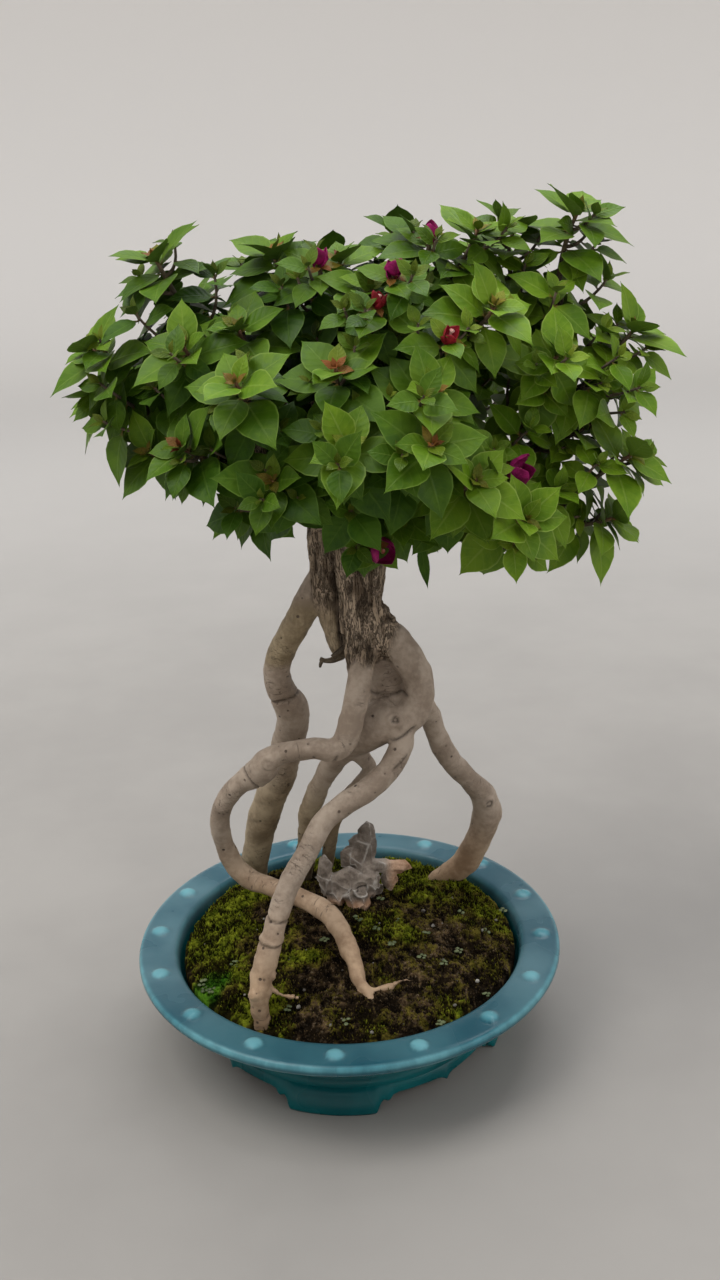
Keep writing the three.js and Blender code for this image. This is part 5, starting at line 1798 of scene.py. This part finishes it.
def leaf_faces():
    """Quads of the upper sheet, of the underside, of the tip, and the stalk's end."""
    upper_count = ROWS * COLUMNS
    tip = upper_count + ROWS
    rib = range(upper_count, tip)
    left = range(0, upper_count, COLUMNS)
    far = range(COLUMNS - 1, upper_count, COLUMNS)
    upper = [face[::-1] for face in grid_faces(ROWS, COLUMNS)]
    upper += [[j + 1, j, tip] for j in range(left[-1], far[-1])]
    under = []
    for i in range(ROWS - 1):
        under.append([left[i], rib[i], rib[i + 1], left[i + 1]])
        under.append([rib[i], far[i], far[i + 1], rib[i + 1]])
    under += [[left[-1], rib[-1], tip], [rib[-1], far[-1], tip], [*range(COLUMNS), upper_count]]
    return upper, under


LEAF_UPPER, LEAF_UNDER = leaf_faces()
LEAF_POINTS = ROWS * COLUMNS + ROWS + 1
LEAF_U = np.concatenate([np.repeat(ROW_PLACES, COLUMNS), ROW_PLACES, [1]])
LEAF_V = np.concatenate([np.tile(COLUMN_PLACES, ROWS), np.zeros(ROWS), [0]])
LEAF_RIM = np.concatenate([np.tile(np.abs(COLUMN_PLACES) == 1, ROWS), np.zeros(ROWS, bool), [True]])


def sharpen_rims(item, on_rim):
    """Edges with both ends on a leaf's rim are marked sharp, so each side keeps its own shade."""
    ends = read_all(item.data.edges, "vertices", 2, np.int32)
    item.data.edges.foreach_set("use_edge_sharp", on_rim[ends].all(axis=1))
    item.data.update()


print("faces of a leaf:", len(LEAF_UPPER) + len(LEAF_UNDER))

# %% [markdown]
# ### Leaf finish
#
# A leaf is green through and through, but its midrib and its thin edge are yellower, the side
# veins are faint, and the youngest leaves are bronze. The mesh stores for each point how far
# along and across the leaf it lies and how young the leaf is, with painted light added to the
# youth, and the finish reads them.

# %% Vein group
def vein_group():
    """Midrib where across is near 0, and side veins that leave it slanting forward."""
    group = bpy.data.node_groups.new("veins", "ShaderNodeTree")
    for name in ("Along", "Across", "Pairs"):
        group.interface.new_socket(name, in_out="INPUT", socket_type="NodeSocketFloat")
    for name in ("Midrib", "Side veins", "Height"):
        group.interface.new_socket(name, in_out="OUTPUT", socket_type="NodeSocketFloat")
    given = add(group, "NodeGroupInput")
    across = calc(group, "ABSOLUTE", given.outputs["Across"])
    midrib = spread(group, across, 0.02, 0.09, 1.0, 0.0)
    slanted = calc(group, "SUBTRACT", given.outputs["Along"], times(group, across, 0.2))
    turns = times(group, given.outputs["Pairs"], 6.283)
    wave = calc(group, "SINE", times(group, slanted, turns))
    side = times(group, spread(group, wave, 0.86, 1.0), spread(group, across, 0.8, 1.0, 1.0, 0.0))
    soft = spread(group, wave, -1.0, 1.0)
    height = calc(group, "SUBTRACT", 0.0, calc(group, "ADD", times(group, soft, 0.5), midrib))
    outputs = {"Midrib": midrib, "Side veins": side, "Height": height}
    add(group, "NodeGroupOutput", outputs)
    return group


VEINS = vein_group()


def veined(tree, pairs):
    """The outputs of the vein group for a blade with so many pairs of side veins."""
    node = add(tree, "ShaderNodeGroup", node_tree=VEINS)
    inputs = {"Along": read(tree, "leaf_along"), "Across": read(tree, "leaf_across"), "Pairs": pairs}
    fill(tree, node, inputs)
    return node.outputs


# %% Leaf finishes
def leaf_finish(name, under):
    """Deep to fresh green by youth and painted light, bronze in the bud, with paler midrib and edge."""
    finish, tree, place = new_finish(name, Specular_IOR_Level=0.15)
    young = read(tree, "young")
    patches = mottled(tree, place, 30)
    old = mixed(tree, patches, (0.019, 0.058, 0.002), (0.044, 0.104, 0.004))
    fresh = mixed(tree, patches, (0.088, 0.18, 0.006), (0.15, 0.255, 0.012))
    # young carries youth and painted light; more of it gives a fresher green.
    green = mixed(tree, young, old, fresh)
    veins = veined(tree, 7.0)
    lime = mixed(tree, young, (0.09, 0.175, 0.02), (0.28, 0.38, 0.07))
    green = mixed(tree, times(tree, veins["Midrib"], 0.3), green, lime)
    green = mixed(tree, times(tree, veins["Side veins"], 0.10), green, lime)
    across = calc(tree, "ABSOLUTE", read(tree, "leaf_across"))
    green = mixed(tree, spread(tree, across, 0.88, 1.0, 0.0, 0.7), green, lime)
    bronze = mixed(tree, patches, (0.13, 0.028, 0.013), (0.27, 0.07, 0.024))
    colour = mixed(tree, read(tree, "blush"), green, bronze)
    stalk = spread(tree, read(tree, "leaf_along"), 0.06, 0.14, 0.8, 0.0)
    colour = mixed(tree, stalk, colour, (0.17, 0.085, 0.028))
    if under:
        colour = mixed(tree, 0.38, colour, (0.13, 0.205, 0.055))
    relief = bumped(tree, veins["Height"], 0.00018)
    to_shader(tree, Base_Color=colour, Roughness=spread(tree, patches, 0, 1, 0.42, 0.56), Normal=relief)
    return finish


def stem_finish():
    """Dark brown young bark that turns red-brown in the last fifth of the stem."""
    finish, tree, place = new_finish("young_stem", Roughness=0.7)
    patches = mottled(tree, place, 120)
    brown = mixed(tree, patches, (0.045, 0.032, 0.014), (0.1, 0.072, 0.03))
    red = mixed(tree, patches, (0.13, 0.052, 0.022), (0.2, 0.095, 0.035))
    to_shader(tree, Base_Color=mixed(tree, spread(tree, read(tree, "young"), 0.75, 1.0), brown, red))
    return finish


LEAF_TOP = leaf_finish("leaf_upper_side", False)
LEAF_BELOW = leaf_finish("leaf_under_side", True)
STEM = stem_finish()

# %% [markdown]
# ### Making the sprays
#
# One spray is one object: its stem and all its leaves. Some rosettes in the photograph are
# brighter or redder than others, so a short list gives them their own painted light and
# freshness, and their blush.

# %% Sprays
# Painted light and youth for each spray: a higher value gives a fresher, lighter green.
PAINTED_LIGHT_AND_YOUTH = {
    "bright_left": 0.95, "front_bright": 1.0, "bright_right": 0.85, "yellow": 0.8, "crest_peak": 0.8,
    "front_right": 0.6, "crest_front": 0.7, "crest_middle": 0.7, "left_upper": 0.6, "left_front": 0.65,
    "right_low_tip": 0.9, "top_right": 0.7, "crest_right": 0.6, "crest_left": 0.5, "front_upper": 0.5,
    "right_tip": 0.7, "right_inner": 0.7, "right_under": 0.7, "right_front": 0.6, "middle_right": 0.5,
    "top_left": 0.5, "left_tip": 0.5,
}
BLUSH = {
    "low_left": 1.0, "bright_left": 0.7, "top_left": 0.8, "crest_left": 0.7, "crest_middle": 1.0,
    "crest_front": 1.0, "front_upper": 0.9, "front_right": 0.7, "front_low_right": 0.8,
    "right_tip": 0.8, "front_bright": 0.3, "yellow": 0.4,
}


PLAIN_TONES = (0.25, 0.5)
SPUR_TONES = (0.35, 0.15)
BETWEEN_TONES = (0.45, 0.8)
STEM_ROWS = 9
STEM_SIDES = 8


def leaf_tones(blade, bright, blush):
    """How young and how bronze a leaf looks; bright adds painted light, and outer leaves at the sides get
    more painted light, all stored as youth.
    """
    aside, height = blade["root"][0], blade["root"][2]
    # Painted light on the outer leaves at the right and at the left.
    outer = 0.8 * ease(45, 140, aside) * ease(720, 590, height) + 0.28 * ease(-90, -170, aside)
    outer += 0.3 * (chance(blade["number"] * 3 + 5) - 0.5)
    young = np.clip((0.25 + 0.75 * bright) * (1 - blade["age"]) ** 1.5 + outer, 0, 1)
    size = blade["length"] / LEAF_LENGTH
    return young, np.clip(blush * ease(0.5, 0.22, size), 0, 1)


def leafy_piece(name, blades, tones, stem=None):
    """One object from blades, with their light and blush, and a stem if one is given."""
    parts, kinds, values = [], [], []
    if stem is not None:
        young = np.linspace(0, 1, len(stem[0]) // STEM_SIDES).repeat(STEM_SIDES)
        none = 0 * young
        parts.append(stem)
        kinds += [2] * len(stem[1])
        values.append([young, none, 1 + none, 0.5 + none, none])
    for blade in blades:
        parts.append((leaf_points(blade), LEAF_UPPER + LEAF_UNDER))
        kinds += [0] * len(LEAF_UPPER) + [1] * len(LEAF_UNDER)
        own = np.outer(leaf_tones(blade, *tones), np.ones(LEAF_POINTS))
        values.append([*own, LEAF_U, LEAF_V, LEAF_RIM])
    item = new_piece(name, *put_together(parts), [LEAF_TOP, LEAF_BELOW, STEM], kinds)
    young, blush, along, across, on_rim = np.hstack(values)
    give_values(item, young=young, blush=blush, leaf_along=along, leaf_across=across)
    sharpen_rims(item, on_rim > 0)
    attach(item, "root")
    return item


def twig_tube(ends, start, thick, thin, rows, sides=STEM_SIDES):
    """A tapering tube along a bent twig, from a share of its length to its tip."""
    places = on_twig(ends, np.linspace(start, 1, rows))
    return tube(np.column_stack([places, np.linspace(thick, thin, rows)]), sides)


def blades_of(names):
    """The blades that the named shoots bear."""
    return [blade for blade in TAKEN if blade["owner"] in names]


def make_spray(shoot):
    """The stem and the leaves of one shoot as one object."""
    name = shoot["name"]
    stem = twig_tube(shoot["ends"], shoot["start"], SHOOT_BASE, SHOOT_TIP, STEM_ROWS)
    tones = (PAINTED_LIGHT_AND_YOUTH.get(name, PLAIN_TONES[0]), BLUSH.get(name, PLAIN_TONES[1]))
    item = leafy_piece("leaves_" + name, blades_of([name]), tones, stem)
    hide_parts("spray_" + name)
    return item


def spur_leaves(limb):
    """The leaves of all spurs of one limb as one object."""
    owners = [spur["name"] for spur in SPURS if spur["limb"] == limb]
    return leafy_piece("leaves_on_" + limb, blades_of(owners), SPUR_TONES)


sprays = [make_spray(shoot) for shoot in SHOOTS[len(BLOOMS) :]]
print("sprays:", len(sprays), "with", sum(count(item) for item in sprays), "triangles")
inner_leaves = [spur_leaves(limb) for limb in LIMBS]
print("inner leaves:", sum(count(item) for item in inner_leaves), "triangles")

# %% [markdown]
# ## Twigs
#
# Between limb and shoot runs a bare twig, brown and knotted where old leaves fell. Each is a
# thin tube along the same bent line, and all are one object because they are one wood. A few
# broken rootlets at the foot of the trunk are made the same way.

# %% Twigs under the sprays
TWIG_ROWS = 14


def bare_twig(shoot, number):
    """A tapering tube from inside the limb to the shoot, a little knotted on its way."""
    places = on_twig(shoot["ends"], np.linspace(0, shoot["start"] + 0.02, TWIG_ROWS))
    radius = np.linspace(shoot["ends"][3], SHOOT_BASE * 1.02, TWIG_ROWS)
    swelling = 1 + 0.10 * np.sin(np.arange(TWIG_ROWS) * 2.4 + number)
    return tube(np.column_stack([places, radius * swelling]), STEM_SIDES)


def twig_finish():
    """Dark brown bark with paler corky specks."""
    finish, tree, place = new_finish("twig_bark", Roughness=0.85)
    tone = mixed(tree, mottled(tree, place, 90), (0.04, 0.028, 0.017), (0.13, 0.098, 0.062))
    to_shader(tree, Base_Color=tone, Normal=bumped(tree, noise(tree, place, 500, 3.0), 0.0006))
    return finish


BROKEN_ROOTLETS = [
    [(6, 0, 345, 2.8), (-3, -2, 340, 2.3), (-10, -3, 339.5, 1.7), (-14, -3.5, 341.5, 1.6)],
    [(-12, -3, 341, 1.6), (-14, -4, 337, 1.3), (-14.5, -4, 334.5, 0.9)],
    [(6, -2, 350, 2.6), (-1, -5, 346, 1.9), (-5, -6, 344, 1.3)],
]
twig_parts = [bare_twig(shoot, number) for number, shoot in enumerate(SHOOTS)]
twig_parts += [tube(smooth_line(rows, 2.0), 8, 0.2) for rows in BROKEN_ROOTLETS]
twig_parts += [twig_tube(spur["ends"], 0, SPUR_BASE, SPUR_TIP, 7, 6) for spur in SPURS]
twigs = new_piece("twigs", *put_together(twig_parts), [twig_finish()])
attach(twigs, "root")
print("twigs:", count(twigs), "triangles")

# %% [markdown]
# ## Blooms
#
# What looks like a petal is a bract, a coloured leaf as thin as paper. Three of them stand
# round a small tube-shaped flower. They are made as the leaves are, but broad and crinkled.

# %% Bract surface
BRACT_ROWS_ALONG = 12
BRACT_COLUMNS = 9


def turned_inward(blade):
    """The same bract with its face square to the stem's axis, so three of them close to a bell."""
    up = unit(blade["axis"] - blade["way"] * blade["way"].dot(blade["axis"]))
    return {**blade, "up": up, "side": np.cross(blade["way"], up)}


def bract_points(blade):
    """A round cupped sheet: half width sin(pi s^0.66)^0.7, crinkled by noise; two skins."""
    blade = turned_inward(blade)
    rows, columns = np.linspace(0, 1, BRACT_ROWS_ALONG), np.linspace(-1, 1, BRACT_COLUMNS)
    t, c = np.meshgrid(rows, columns, indexing="ij")
    half = np.maximum(np.sin(math.pi * np.clip(t, 0.002, 0.998) ** 0.66) ** 0.7 * blade["width"] * 0.56, 0.25)
    wide = np.interp(blade["length"], [14, 20], [0.12, 0.26])
    belly = wide * np.sin(math.pi * t**0.75) - 0.30 * t**2.5
    cup = 0.5 * c * c * half - belly * blade["length"]
    plain = blade_place(blade, t, c * half, cup)
    folds = cloud(plain.reshape(-1, 3), 3.4, blade["number"]).reshape(t.shape)
    crinkle = 0.036 * blade["length"] * folds * ease(0, 0.2, t)
    upper = blade_place(blade, t, c * half, cup + crinkle + 0.12)
    under = blade_place(blade, t, c * half * 0.985, cup + crinkle - 0.12)
    return np.vstack([upper.reshape(-1, 3), under.reshape(-1, 3)])


def bract_faces():
    """Both skins and the strip round the edge that joins them."""
    size = BRACT_ROWS_ALONG * BRACT_COLUMNS
    upper = [face[::-1] for face in grid_faces(BRACT_ROWS_ALONG, BRACT_COLUMNS)]
    under = grid_faces(BRACT_ROWS_ALONG, BRACT_COLUMNS, start=size)
    index = np.arange(size).reshape(BRACT_ROWS_ALONG, BRACT_COLUMNS)
    border = np.concatenate([index[0], index[1:, -1], index[-1, -2::-1], index[-2:0:-1, 0]])
    following = np.roll(border, -1)
    rim = np.stack([border, following, following + size, border + size], -1).tolist()
    return upper + under + rim


# %% Bract finish
def bract_finish(name, deep, bright):
    """Papery colour with fine darker veins."""
    finish, tree, place = new_finish(name, Roughness=0.6, Specular_IOR_Level=0.25)
    body = mixed(tree, mottled(tree, place, 160), deep, bright)
    cells = {"Vector": place, "Scale": 420.0}
    net = add(tree, "ShaderNodeTexVoronoi", cells, feature="DISTANCE_TO_EDGE").outputs[0]
    line = spread(tree, net, 0.0, 0.09, 0.45, 0.0)
    paper = bumped(tree, noise(tree, place, 300, 3.0), 0.0007)
    to_shader(tree, Base_Color=mixed(tree, line, body, deep), Normal=paper)
    return finish


MAGENTA = bract_finish("magenta_bract", (0.17, 0.002, 0.055), (0.38, 0.01, 0.145))
CRIMSON = bract_finish("crimson_bract", (0.15, 0.004, 0.01), (0.36, 0.016, 0.03))
TUBE_RED = two_tone("flower_tube", 200, (0.34, 0.04, 0.03), (0.62, 0.42, 0.36), Roughness=0.5)
RED_BLOOMS = ("bloom_top_red", "bloom_red")

# %% Blooms
STALK_ROWS = 5
FLOWER_ROWS = 6


def flower_tube(shoot):
    """A small trumpet on the stem's end: a tube that widens into a mouth."""
    tip, axis = stem_point(shoot, 0)
    share = np.linspace(0, 1, FLOWER_ROWS)
    places = tip + np.outer(share * 8 - 1, axis)
    return tube(np.column_stack([places, 0.8 + 0.3 * share + 0.8 * ease(0.75, 1, share)]), 10)


def make_bloom(shoot):
    """Stalk, three bracts and the tube flower as one object."""
    name = shoot["name"]
    stalk = twig_tube(shoot["ends"], shoot["start"], SHOOT_BASE, SHOOT_TIP, STALK_ROWS)
    bracts = [(bract_points(blade), bract_faces()) for blade in blades_of([name]) if not blade["fine"]]
    flower = flower_tube(shoot)
    points, faces = put_together([stalk, *bracts, flower])
    kinds = [1] * len(stalk[1]) + [0] * sum(len(part[1]) for part in bracts) + [2] * len(flower[1])
    colour = CRIMSON if name in RED_BLOOMS else MAGENTA
    item = new_piece("bracts_" + name, points, faces, [colour, STEM, TUBE_RED], kinds)
    give_values(item, young=np.ones(len(points)) * 0.6)
    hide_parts(name)
    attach(item, "root")
    return item


HANGING_LEAF = {
    "root": np.array([66.0, -18, 441]), "way": unit(np.array([0.13, -0.10, -0.98])),
    "length": 40, "width": 9, "droop": 0.04, "age": 1, "number": 3001,
}


def leaves_between():
    """The leaves on the flowering twigs, and one narrow leaf that hangs under the crown."""
    blades = [blade for blade in blades_of([row[0] for row in BLOOMS]) if blade["fine"]]
    up = unit(LIGHT - HANGING_LEAF["way"] * HANGING_LEAF["way"].dot(LIGHT))
    hanging = {**HANGING_LEAF, "up": up, "side": np.cross(HANGING_LEAF["way"], up)}
    return leafy_piece("leaves_between", blades + [hanging], BETWEEN_TONES)


blooms = [make_bloom(shoot) for shoot in SHOOTS[: len(BLOOMS)]]
between = leaves_between()
print("leaves between:", count(between), "triangles")
print("blooms:", len(blooms), "with", sum(count(item) for item in blooms), "triangles")
